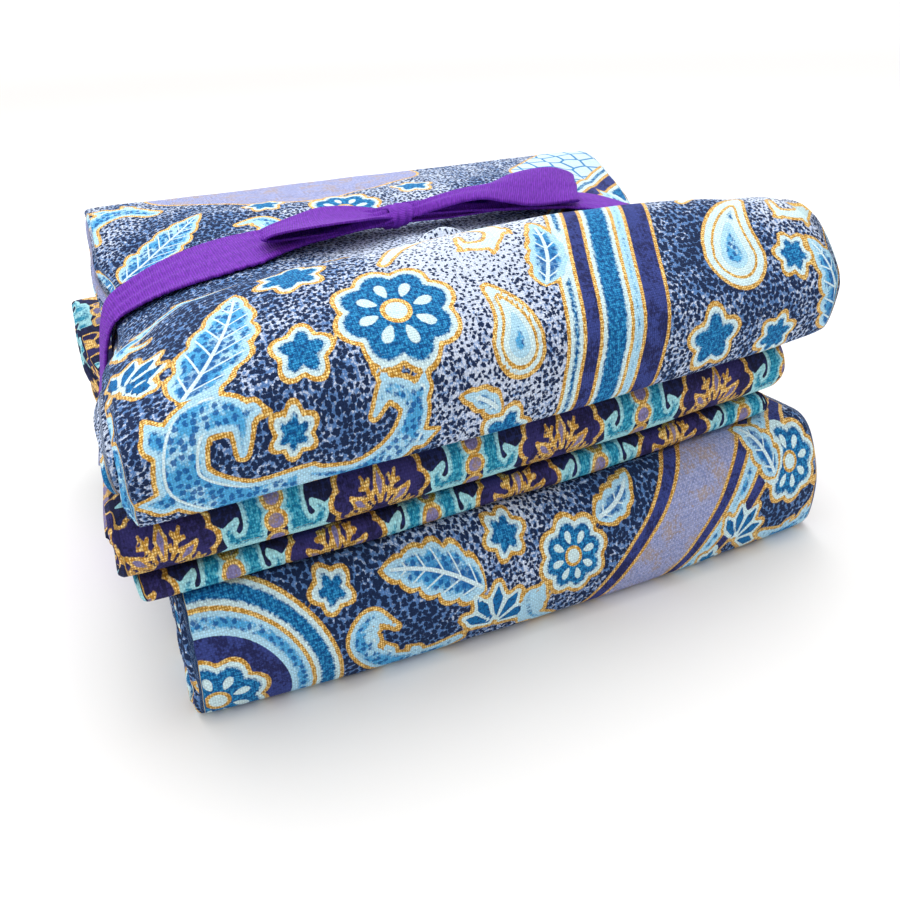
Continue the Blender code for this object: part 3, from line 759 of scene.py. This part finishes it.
nodeSteps = {  # a step's node, settings, inputs in the order of a call, output
    **{step: ("Math", {"operation": operation}, (0, 1, 2), 0) for step, operation in (
        ("times", "MULTIPLY"), ("plus", "ADD"), ("minus", "SUBTRACT"), ("over", "DIVIDE"),
        ("timesPlus", "MULTIPLY_ADD"), ("larger", "MAXIMUM"), ("absolute", "ABSOLUTE"), ("fraction", "FRACT"),
        ("root", "SQRT"), ("sine", "SINE"), ("cosine", "COSINE"), ("angle", "ARCTAN2"))},
    "stretched": ("VectorMath", {"operation": "MULTIPLY"}, (0, 1), 0),
    "shaken": ("VectorMath", {"operation": "MULTIPLY_ADD"}, (0, 1, 2), 0),
    "scaled": ("VectorMath", {"operation": "SCALE"}, (0, "Scale"), 0),
    "length": ("VectorMath", {"operation": "LENGTH"}, (0,), "Value"),
    "ramp": ("MapRange", {}, (0, 1, 2, 3, 4), 0),
    "mask": ("MapRange", {"interpolation_type": "SMOOTHSTEP"}, (0, 1, 2, 3, 4), 0),
    "blend": ("Mix", {"data_type": "RGBA"}, (0, 6, 7), 2),
    "noise": ("TexNoise", {"noise_dimensions": "2D"}, ("Vector", "Scale", "Detail", "Roughness"), 0),
    "cells": ("TexVoronoi", {"voronoi_dimensions": "2D"}, ("Vector", "Scale", "Randomness"), "Distance"),
    "number": ("Attribute", {}, (), "Fac"),
    "place": ("Attribute", {"attribute_name": "cloth"}, (), "Vector"),
    "x": ("SeparateXYZ", {}, (0,), 0), "y": ("SeparateXYZ", {}, (0,), 1), "z": ("SeparateXYZ", {}, (0,), 2),
    "room": ("TexCoord", {}, (), 0),
    "bump": ("Bump", {}, ("Strength", "Distance", "Height"), 0),
    "shader": ("BsdfPrincipled", {}, (), 0),
    "surface": ("OutputMaterial", {}, (0,), None),
}


def addNode(tree, step, *values, named=None, output=None, **settings):  # values are numbers or links
    kind, given, inputs, usual = nodeSteps[step]
    node = tree.nodes.new("ShaderNode" + kind)
    for key, value in {**given, **settings}.items():
        setattr(node, key, value)
    for key, value in (*zip(inputs, values), *(named or {}).items()):
        if isinstance(value, bpy.types.NodeSocket):
            tree.links.new(value, node.inputs[key])
        else:
            node.inputs[key].default_value = value
    return node if usual is None else node.outputs[usual if output is None else output]


def newMaterial(name):
    material = bpy.data.materials.new(name)
    material.use_nodes = True
    material.node_tree.nodes.clear()
    return material, material.node_tree


# Quilting cotton: plain woven, carded yarn, pigment printed. The eye gets a matt face, a fine even
# weave of 60 threads to the inch with painted shade in its gaps, soft colour in the threads, and metallic
# gold with painted glints on the thread tops.
quiltingCotton = {
    "threadPitch": 0.42,  # mm, as measured in the photo
    "threadRelief": 0.00012, "threadStrength": 0.6,  # m, and the share of it that shows
    "dotPitch": 0.95,  # mm between the printed dots
    "goldHalf": 0.38,  # half the width of a gold line in mm
    "rimWide": 0.7,  # pale rim inside a printed shape, in mm
    "pale": "#d2ddf1", "mid": "#2e6aac", "navy": "#14284d",
    "lilac": "#a6abd1", "lilacDeep": "#8893c2", "mottle": "#b89a68",
    "indigo": "#38458a", "indigoDeep": "#23285a",
    "sky": "#4ea6dc", "skyPale": "#b2def4", "skyDot": "#12589e", "skyBase": "#0f60a8",
    "blue": "#1270b0", "teal": "#0565a4", "tealDeep": "#063c74", "tealLight": "#3aa0d4",
    "ice": "#d3edf2", "vein": "#d8eff6",
    "comb": "#c8e0f0", "combLine": "#3f86bd",
    "gold": "#bd882c", "goldPaintedGlint": "#fbd98c",
    "roughness": 0.9, "specular": 0.22, "goldRoughness": 0.45, "goldMetallic": 0.4,
}
borderCotton = {
    **quiltingCotton,
    "goldHalf": 0.3, "rimWide": 0.28,
    "pale": "#20295a", "mid": "#1c2450", "navy": "#141838",
    "indigo": "#322e68", "indigoDeep": "#201c46", "teal": "#178aae", "tealDeep": "#0d5a84",
    "tealLight": "#58b8d0", "ice": "#a4dce4", "sky": "#4fa8cc", "skyPale": "#a0d6e2", "skyDot": "#2280a8",
    "skyBase": "#1a7398", "lilac": "#8a84b4", "lilacDeep": "#6c6490", "vein": "#c8963c",
}


def printedCotton(name, look, veined):  # veined names the printed colour that the veins are drawn on
    material, tree = newMaterial(name)
    add = partial(addNode, tree)
    times, plus, minus, larger, absolute, mask, blend = (
        partial(add, step) for step in ("times", "plus", "minus", "larger", "absolute", "mask", "blend"))
    dye = {key: shade(value) for key, value in look.items() if str(value).startswith("#")}
    stored = {field: add("number", attribute_name=field)
              for field in (*printColours, *printLines, *printCovers, *printPlaces, "tone")}
    cloth = add("place")
    turns = math.pi / look["threadPitch"]
    acrossWave = add("sine", times(add("x", cloth), turns))
    alongWave = add("sine", times(add("y", cloth), turns))
    weave = times(acrossWave, alongWave)  # + where the warp is on top, - where the weft is
    threads = absolute(weave)
    grain = add("noise", cloth, 1.6, 3, 0.65)
    soft = add("noise", cloth, 0.2, 2, 0.65)
    rough = times(minus(grain, 0.5), 0.5)
    rougher = times(rough, 2.2)

    # Printed dots that grow together where the tone is dark, over a halftone of blue on the pale cloth
    wobble = add("noise", cloth, 1.3, 1, 0.65, output=1)
    shaken = add("shaken", wobble, (0.8, 0.8, 0), cloth)
    tone = plus(stored["tone"], times(minus(soft, 0.5), 0.7))
    size = add("ramp", tone, 0, 1, 0.24, 0.56)
    dots = add("cells", shaken, 1 / look["dotPitch"], 0.85)
    inDot = mask(plus(minus(size, dots), rough), -0.06, 0.1)
    halftone = mask(plus(times(tone, 0.6), rougher), 0.2, 0.5)
    between = blend(times(halftone, 0.9), dye["pale"], dye["mid"])
    colour = blend(inDot, between, dye["navy"])

    # Veins of a leaf: a midrib, and side veins that lean forward from it
    along, side = stored["leafAlong"], absolute(stored["leafSide"])
    midrib = mask(plus(side, times(along, 0.008)), 0.5, 0.32)
    slanted = add("fraction", add("over", minus(along, times(side, 0.9)), 3.4))
    sideVein = mask(absolute(minus(slanted, 0.5)), 0.085, 0.035)
    inLeaf = times(mask(stored[veined], -0.8, -1.1), mask(side, 30, 20))
    veins = times(larger(midrib, sideVein), inLeaf)
    nearRib = mask(plus(plus(side, times(along, 0.14)), rougher), 3.6, 1.2)

    # Pale petals round a gold ring
    petalX, petalY = stored["petalX"], stored["petalY"]
    away = add("root", plus(times(petalX, petalX), times(petalY, petalY)))
    petalWave = add("cosine", times(add("angle", petalY, petalX), 8))
    offMiddle = minus(away, 0.47)
    bulge = times(times(offMiddle, offMiddle), 34)
    petals = mask(plus(minus(minus(petalWave, 0.05), bulge), rough), -0.1, 0.25)
    core = mask(away, 0.2, 0.17)
    ring = mask(absolute(minus(away, 0.21)), 0.05, 0.03)

    speck = mask(plus(grain, times(threads, 0.1)), 0.5, 0.68)
    deep = mask(grain, 0.5, 0.36)
    skyDot = mask(add("cells", shaken, 0.72, 0.6), 0.4, 0.28)
    combLine = mask(add("cells", cloth, 0.19, 0.35, feature="DISTANCE_TO_EDGE"), 0.09, 0.05)
    skyInk = blend(mask(plus(soft, rough), 0.46, 0.7), dye["sky"], dye["skyPale"])
    skyInk = blend(times(nearRib, 0.75), skyInk, dye["skyBase"])
    skyInk = blend(times(skyDot, 0.88), skyInk, dye["skyDot"])
    tealInk = blend(times(speck, 0.75), dye["teal"], dye["tealLight"])
    tealInk = blend(times(deep, 0.7), tealInk, dye["tealDeep"])
    tealInk = blend(larger(petals, core), tealInk, dye["ice"])
    lilacInk = blend(mask(grain, 0.42, 0.6), dye["lilac"], dye["lilacDeep"])
    mottled = times(mask(plus(soft, rougher), 0.56, 0.7), 0.5)
    lilacInk = blend(mottled, lilacInk, dye["mottle"])
    indigoInk = blend(mask(plus(soft, rougher), 0.4, 0.66), dye["indigo"], dye["indigoDeep"])
    layers = {
        "lilac": (lilacInk, None),
        "comb": (blend(combLine, dye["comb"], dye["combLine"]), None),
        "blue": (blend(deep, dye["blue"], dye["tealDeep"]), None),
        "indigo": (indigoInk, None),
        "sky": (skyInk, "skyPale"),
        "teal": (tealInk, "ice"),
        "ice": (dye["ice"], None),
    }
    for attribute, (inkColour, rim) in layers.items():
        distance = plus(stored[attribute], times(rough, 0.3))
        if rim:
            ragged = plus(distance, rougher)
            wide = look["goldHalf"] + look["rimWide"]
            inkColour = blend(mask(ragged, -wide - 0.4, -wide + 0.2), inkColour, dye[rim])
        if attribute == veined:
            inkColour = blend(veins, inkColour, dye["vein"])
        colour = blend(mask(distance, 0.06, -0.06), colour, inkColour)

    # The gold sits on top of the threads, so it breaks up in the gaps between them
    covers = {"backLine": "overBack", "middleLine": "overMiddle", "frontLine": None}
    goldCover = times(ring, mask(stored["teal"], 0, -0.3))
    for line, over in covers.items():
        goldEdge = plus(absolute(stored[line]), times(rough, 0.7))
        drawn = mask(goldEdge, look["goldHalf"] + 0.08, look["goldHalf"] - 0.1)
        if over:
            drawn = times(drawn, mask(stored[over], 0, 0.1))
        goldCover = larger(goldCover, drawn)
    # Painted glints: the gold turns lighter where the threads stand up
    paintedGlint = mask(plus(grain, times(threads, 0.22)), 0.52, 0.74)
    colour = blend(goldCover, colour, blend(paintedGlint, dye["gold"], dye["goldPaintedGlint"]))

    # Threads: gaps between them get a painted shade, the warp takes the dye a little better, and each thread
    # has its own slubs
    gap = add("ramp", threads, 0, 0.8, 0.83, 1.07)
    slubs = []
    for stretch, light in (((2.38, 0.3, 0), 1.08), ((0.3, 2.38, 0), 0.94)):
        uneven = add("noise", add("stretched", cloth, stretch), 1)
        slubs.append(add("ramp", uneven, 0.3, 0.7, light - 0.14, light + 0.14))
    onTop = mask(weave, -0.2, 0.2)
    slub = plus(slubs[1], times(onTop, minus(slubs[0], slubs[1])))
    colour = add("scaled", colour, times(gap, slub))
    bump = add("bump", look["threadStrength"], look["threadRelief"], plus(threads, times(grain, 0.5)))
    roughness = add("ramp", goldCover, 0, 1, look["roughness"], look["goldRoughness"])
    add("surface", add("shader", named={
        "Base Color": colour, "Roughness": roughness, "Normal": bump, "IOR": 1.5,
        "Specular IOR Level": look["specular"], "Metallic": times(goldCover, look["goldMetallic"])}))
    return material


# Grosgrain ribbon: polyester, woven with ribs across its width. The eye gets a soft matt purple that
# deepens in streaks along the ribbon, and fine ribs with painted shade in their valleys.
grosgrain = {
    "ribPitch": 0.5,  # mm
    "ribRelief": 0.00014,
    "purple": "#8333c4", "purpleDeep": "#5f1f9c", "roughness": 0.75, "specular": 0.2,
}


def wovenRibbon(name, look):
    material, tree = newMaterial(name)
    add = partial(addNode, tree)
    cloth = add("place")
    rib = add("sine", add("times", add("x", cloth), 2 * math.pi / look["ribPitch"]))
    fibre = add("noise", add("stretched", cloth, (2, 0.35, 1)), 1, 4, 0.7)
    worn = add("ramp", fibre, 0.3, 0.7, 0, 1)
    colour = add("blend", worn, shade(look["purple"]), shade(look["purpleDeep"]))
    colour = add("scaled", colour, add("ramp", rib, -1, 0.6, 0.8, 1.04))  # painted shade between the ribs
    bump = add("bump", 0.6, look["ribRelief"], add("timesPlus", fibre, 0.8, rib))
    add("surface", add("shader", named={
        "Base Color": colour, "Roughness": look["roughness"], "Normal": bump, "IOR": 1.5,
        "Specular IOR Level": look["specular"]}))
    return material


# Ribbon: the band drawn taut round the middle of the stack, two loops and the wrap of the knot.
ribbon = {
    "flatWidth": 25,  # a one-inch ribbon
    "thick": 0.45, "gap": 0.18, "across": 30, "topStep": 0.6, "plainStep": 2.2, "topAbove": 30,
    "fray": (0.16, 0.1),  # its edges wander this far, coarsely and finely
    "drawnFrom": (38, 16),  # straight up to this height, and drawn together over the next
    "crumple": (0.22, 13),  # height and length of the loops' small waves
    "bandTop": 66.35,  # top face of the band's solid near the knot, in mm
    "rightArch": 2.5, "leftArch": 1.2,  # the loops' upper strands stand up this far
    "pleat": 0.5, "loopSteps": 12, "knotAt": (-8.2, -0.4),
    "knotSize": (2.7, 3.7, 1.9), "knotLift": 1.5, "knotSteps": 44, "knotLength": 24,
}
# Front and back edge of the band at places from left to right, drawn together at the knot
bandEdges = [
    (-80, -7, 11), (-66, -7, 11.2), (-57, -9.6, 11.6), (-47, -12.4, 12.8), (-40, -12.6, 12.6),
    (-34, -8.8, 10.4), (-28, -6.4, 8.6), (-15, -5.4, 7), (-6, -4.2, 5.4), (8, -3.8, 6),
    (20, -5.4, 8.6), (31, -6.8, 11), (38, -10.6, 12.4), (45, -13, 13), (80, -13.5, 13.5),
]
# Rows of a loop, from the knot out along the lower side and back on top: its front edge and its back edge
rightLoop = [
    (-8, -3, 66.8, -8, 1.8, 68), (-2, -3.2, 66.8, -2, 2.6, 68.4), (5, -3.2, 66.8, 6, 3.2, 69.2),
    (11, -3.6, 66.9, 12, 4, 69.6), (17, -4.4, 67, 18, 5.6, 71), (24, -5.2, 66.9, 26, 7.2, 71.8),
    (30, -6.2, 67, 34.6, 7.4, 70.6), (33, -7.2, 67.3, 39.6, 7.2, 69.7), (33.2, -7.6, 67.7, 40.2, 6.8, 70.4),
    (30.6, -8.2, 67.9, 38, 6.8, 71.6), (25.1, -8.4, 67.8, 34, 6.8, 72.6), (20.2, -8.6, 68.2, 28.7, 6.6, 72.7),
    (14.6, -8.4, 69.6, 22.9, 6, 72.2), (9.8, -8, 70.9, 17.4, 4.6, 70.4), (5.2, -7, 70.6, 12, 4, 69.7),
    (0.4, -5.8, 69.5, 5.8, 3.6, 69.4), (-3.8, -4.2, 68.5, -0.8, 3.2, 68.9), (-8, -2.4, 67.6, -7.4, 2.6, 68.4),
]
leftLoop = [
    (-8.5, -4, 66.8, -8.5, 2, 67.5), (-14, -5, 66.9, -14, 5, 68.2), (-22, -5.4, 66.9, -22, 7, 68.8),
    (-30, -5.8, 66.9, -29, 5.6, 68.4), (-36, -6.6, 67.2, -35, 2, 67.8), (-38, -7.6, 68.1, -36.6, 1.8, 67.9),
    (-36.4, -9.4, 69.3, -33.6, 3.6, 68.5), (-31.6, -10.8, 70, -28, 6, 69.1),
    (-24.5, -11, 70.3, -22.6, 7.4, 69.6), (-18, -10, 70.1, -17, 7.4, 69.4),
    (-13.2, -7.2, 69.6, -12.6, 5.8, 68.8), (-8.5, -2.6, 68.4, -8.1, 3.2, 67.9),
]


def hullOutline(points):  # the taut outline round points in a plane, anticlockwise
    ordered = sorted(set(map(tuple, np.round(points, 2))))
    outline = []
    for run in (ordered, ordered[::-1]):
        chain = []
        for point in run:
            while len(chain) > 1:
                (ax, az), (bx, bz) = chain[-2:]
                if (bx - ax) * (point[1] - az) - (bz - az) * (point[0] - ax) > 0:
                    break
                chain.pop()
            chain.append(point)
        outline += chain[:-1]
    return np.array(outline)


def resampled(outline, fineStep, plainStep, fineAbove):
    points = []
    for start, end in zip(outline, np.roll(outline, -1, axis=0)):
        step = fineStep if min(start[1], end[1]) > fineAbove else plainStep
        pieces = max(1, round(np.linalg.norm(end - start) / step))
        points += [start + (end - start) * part / pieces for part in range(pieces)]
    return np.array(points)


def smoothed(outline, passes):
    for _ in range(passes):
        outline = 0.5 * outline + 0.25 * (np.roll(outline, 1, axis=0) + np.roll(outline, -1, axis=0))
    return outline


def stripFaces(ringCount, pointCount, closed):
    faces = []
    for ring in range(ringCount - (0 if closed else 1)):
        a = ring * pointCount + np.arange(pointCount)
        b = ((ring + 1) % ringCount) * pointCount + np.arange(pointCount)
        faces += np.stack([a, np.roll(a, -1), np.roll(b, -1), b], axis=1).tolist()
    if not closed:
        half = pointCount // 2
        for base in (0, (ringCount - 1) * pointCount):
            first = [base + i for i in range(half)]
            second = [base + pointCount - 1 - i for i in range(half)]
            faces += quads(first, second)
    return faces


def bandRings(near):
    coarse, fine = ribbon["fray"]
    straightTop, drawnOver = ribbon["drawnFrom"]
    outline = hullOutline(near)
    outline = resampled(outline, ribbon["topStep"], ribbon["plainStep"], ribbon["topAbove"])
    outline = smoothed(outline, 6)
    tangent = np.roll(outline, -1, axis=0) - np.roll(outline, 1, axis=0)
    tangent /= np.linalg.norm(tangent, axis=1)[:, None]
    outward = np.column_stack([tangent[:, 1], -tangent[:, 0]])
    walked = lengthsAlong(outline)
    across = np.linspace(-1, 1, ribbon["across"])
    edgeX, edgeFront, edgeBack = np.array(bandEdges).T
    rings, flat = [], []
    for index, (point, normal) in enumerate(zip(outline, outward)):
        frayFront = coarse * math.sin(walked[index] * 7.3) + fine * math.sin(walked[index] * 17.1)
        frayBack = coarse * math.sin(walked[index] * 6.1 + 2) + fine * math.sin(walked[index] * 15.7)
        topShare = unit((point[1] - straightTop) / drawnOver)
        share = point[0] / stack["width"] + 0.5
        front, back = (np.interp(point[0], edgeX, edge) * topShare  # and straight below the top
                       + (edge[0] + (edge[-1] - edge[0]) * share) * (1 - topShare)
                       for edge in (edgeFront, edgeBack))
        y = front + (back - front) * (across + 1) / 2
        y = y + np.where(across < -0.98, frayFront, 0) + np.where(across > 0.98, frayBack, 0)
        gathered = 1 - (back - front) / pull["ribbonWidth"]  # drawn together, it folds lengthwise
        ripple = 0.15 + gathered * (1 + np.sin(across * 10 + walked[index] * 0.05))
        ripple = ripple + 0.12 * (1 + waves(walked[index], y, 2, 21))
        inner = ribbon["gap"] + ripple * topShare
        low, high = (np.column_stack([point[0] + normal[0] * off, y, point[1] + normal[1] * off])
                     for off in (inner, inner + ribbon["thick"]))
        rings.append(np.vstack([low, high[::-1]]))
        spread = across * pull["ribbonWidth"] / 2
        flat.append(flatPlaces(walked[index], np.concatenate([spread, spread[::-1]])))
    return rings, flat


def flatPlaces(walked, across):
    return np.column_stack([np.full(len(across), walked), across, np.zeros(len(across))])


def loopRings(rows, arch, seed):
    line = splineRows(rows, ribbon["loopSteps"])
    fronts, backs = line[:, :3], line[:, 3:]
    middle = (fronts + backs) / 2
    ahead = np.gradient(middle, axis=0)
    walked = lengthsAlong(middle)
    across = np.linspace(-1, 1, ribbon["across"])[:, None]
    rings, flat = [], []
    for index, (front, back) in enumerate(zip(fronts, backs)):
        width = np.linalg.norm(back - front)
        normal = np.cross(back - front, ahead[index])
        normal /= np.linalg.norm(normal) + 1e-9
        gathered = 1 - unit(width / 20)
        pleat = ribbon["pleat"] * gathered * np.sin(across * 8 + seed + 0.8 * math.sin(walked[index] * 0.12))
        crumple = ribbon["crumple"][0] * waves(walked[index], across * width / 2, seed, ribbon["crumple"][1])
        upper = np.clip(3 * walked[index] / walked[-1] - 1.5, -0.3, 1)  # only the upper strand arches
        lift = pleat + crumple + upper * arch * (1 - across**2) * width / 18
        sheet = (front + back) / 2 + (back - front) / 2 * across
        ring = [sheet + normal * (lift + side * ribbon["thick"] / 2) for side in (1, -1)]
        rings.append(np.vstack([ring[0], ring[1][::-1]]))
        spread = across[:, 0] * pull["ribbonWidth"] / 2
        flat.append(flatPlaces(walked[index], np.concatenate([spread, spread[::-1]])))
    return rings, flat, walked[-1]


def knotRings():
    sizeX, sizeY, sizeZ = ribbon["knotSize"]
    across = np.linspace(-1, 1, ribbon["across"])
    middle = ribbon["bandTop"] + ribbon["knotLift"]
    rings, flat = [], []
    for step in range(ribbon["knotSteps"]):
        angle = 2 * math.pi * step / ribbon["knotSteps"]
        bulge = 1 - 0.22 * across**2 + 0.09 * np.sin(across * 9 + math.sin(angle))
        ring = []
        for side in (0, 1):
            grow = bulge + side * ribbon["thick"] / sizeZ
            spot = np.column_stack([
                ribbon["knotAt"][0] + across * sizeX + 1.3 * math.sin(angle) + 0 * grow,
                ribbon["knotAt"][1] + sizeY * math.cos(angle) * grow,
                middle + sizeZ * math.sin(angle) * grow])
            ring.append(spot if side > 0 else spot[::-1])
        rings.append(np.vstack(ring))
        flat.append(flatPlaces(step * 0.5, np.tile(across * 6, 2)))
    return rings, flat


def ribbonPiece(near):
    points, faces, flat = [], [], []
    base = 0
    band, bandFlat = bandRings(near)
    right, rightFlat, rightLength = loopRings(rightLoop, ribbon["rightArch"], 1)
    left, leftFlat, leftLength = loopRings(leftLoop, ribbon["leftArch"], 2.6)
    knot, knotFlat = knotRings()
    for rings, flats, closed in ((band, bandFlat, True), (right, rightFlat, False),
                                 (left, leftFlat, False), (knot, knotFlat, True)):
        count = len(rings[0])
        faces += [[corner + base for corner in face] for face in stripFaces(len(rings), count, closed)]
        points += rings
        flat += flats
        base += len(rings) * count
    piece = meshPiece("ribbonTie", np.vstack(points), faces)
    storePlaces(piece, np.vstack(flat))
    return piece, bandFlat[-1][0][0] + rightLength + leftLength + ribbon["knotLength"]


view = {
    "place": (-67.5, -171.7, 107.7),  # mm in the stack's own frame
    "heading": 22.23, "pitch": 28.31, "roll": 2.34,
    "lens": 33.16, "sensor": 36, "clip": (0.01, 20),
}


def linked(name, data, place, axes):  # an object at a place in metres, turned to three axes
    thing = bpy.data.objects.new(name, data)
    thing.matrix_world = Matrix.Translation(place) @ Matrix(np.column_stack(axes).tolist()).to_4x4()
    bpy.context.scene.collection.objects.link(thing)
    return thing


def makeCamera():
    heading, pitch, roll = (math.radians(view[key]) for key in ("heading", "pitch", "roll"))
    flat = math.cos(pitch)
    forward = np.array([math.sin(heading) * flat, math.cos(heading) * flat, -math.sin(pitch)])
    level = np.array([math.cos(heading), -math.sin(heading), 0])
    up = np.cross(level, forward)
    right = level * math.cos(roll) - up * math.sin(roll)
    up = np.cross(right, forward)
    camera = bpy.data.cameras.new("photoCamera")
    camera.lens, camera.sensor_width = view["lens"], view["sensor"]
    camera.clip_start, camera.clip_end = view["clip"]
    place = placed(view["place"]).tolist()
    bpy.context.scene.camera = linked("photoCamera", camera, place, (right, up, -forward))


studio = {
    "floor": "#ebeae8", "floorCool": "#ececee", "floorPaintedGlow": 0.12,
    "sky": "#fefdfc", "skyFront": 0.36, "skyBack": 1.2,
    "lights": {"keySoftbox": (5, 0.8, (0.02, 0.28, 0.8)),  # watts, size and place in metres
               "fillSoftbox": (0.5, 0.8, (-0.7, -0.2, 0.4))},
}


def areaLight(name, power, size, place, aim=(0, 0, 0.03)):
    light = bpy.data.lights.new(name, "AREA")
    light.energy, light.size = power, size
    away = np.array(place) - np.array(aim)
    z = away / np.linalg.norm(away)
    x = np.cross((0, 0, 1), z)
    x /= np.linalg.norm(x)
    linked(name, light, place, (x, np.cross(z, x), z))


def makeStudio():
    mesh = bpy.data.meshes.new("studioFloor")
    reach = 6
    mesh.from_pydata([(-reach, -reach, 0), (reach, -reach, 0), (reach, reach, 0), (-reach, reach, 0)], [],
                     [(0, 1, 2, 3)])
    floor = bpy.data.objects.new("studioFloor", mesh)
    floor.location.z = -0.0001
    bpy.context.scene.collection.objects.link(floor)
    material, tree = newMaterial("whiteCard")
    add = partial(addNode, tree)
    mottle = add("noise", named={"Scale": 3, "Detail": 2}, noise_dimensions="3D")
    tint = add("blend", mottle, shade(studio["floor"]), shade(studio["floorCool"]))
    # The card glows more with distance from the stack, painted light that brightens the far floor so no
    # horizon shows
    paintedFarGlow = add("mask", add("length", add("room", output="Object")), 0.6, 2.4, 0, studio["floorPaintedGlow"])
    add("surface", add("shader", named={
        "Base Color": tint, "Roughness": 0.9, "Emission Color": (1, 1, 1, 1), "Emission Strength": paintedFarGlow}))
    mesh.materials.append(material)
    world = bpy.data.worlds.new("whiteRoom")
    bpy.context.scene.world = world
    world.use_nodes = True
    add = partial(addNode, world.node_tree)
    direction = add("room")
    towards = add("plus", add("y", direction), add("z", direction))
    strength = add("mask", towards, -0.8, 0.6, studio["skyFront"], studio["skyBack"])
    sky = world.node_tree.nodes["Background"]
    sky.inputs["Color"].default_value = shade(studio["sky"])
    world.node_tree.links.new(strength, sky.inputs["Strength"])
    for name, (power, size, place) in studio["lights"].items():
        areaLight(name, power, size, place)
    bpy.context.scene.view_settings.view_transform = "Standard"


print("camera and studio")
makeCamera()
makeStudio()

print("folded cotton")
cottonPrint = printedCotton("printedQuiltingCotton", quiltingCotton, "sky")
cottonBorder = printedCotton("printedBorderCotton", borderCotton, "teal")
cuts = (
    ("packet_bottom", "clothBottom", frontPrint, 0.24, cottonPrint, "large_print_cotton", ()),
    ("packet_middle", "clothMiddle", borderPrint, 0, cottonBorder, "border_print_cotton", ("packet_bottom",)),
    ("packet_top", "clothTop", largePrint, 0, cottonPrint, "large_print_cotton", ("packet_middle",)),
)
nearRibbon = []
for node, title, pattern, deeper, material, slotName, under in cuts:
    cloth, u, s, length = foldedCloth(node, title)
    storePrint(cloth, u, s, pattern(u, s), deeper)
    cloth.data.materials.append(material)
    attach(cloth, "root")
    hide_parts(node)
    spots = np.array([tuple(vertex.co) for vertex in cloth.data.vertices]) / mm - np.array(stack["shift"])
    spots = spots[np.abs(spots[:, 1]) < flatHalf - 0.5]
    nearRibbon.append(np.column_stack([spots[:, 0], np.maximum(spots[:, 2], 1.1)]))
    print(title, len(cloth.data.polygons), "faces,", round(length), "mm along the folds")

print("ribbon")
tie, tieLength = ribbonPiece(np.vstack(nearRibbon))
tie.data.materials.append(wovenRibbon("wovenPurpleGrosgrain", grosgrain))
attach(tie, "root")
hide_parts("ribbon_tie")
print("ribbonTie", len(tie.data.polygons), "faces,", round(tieLength), "mm long")
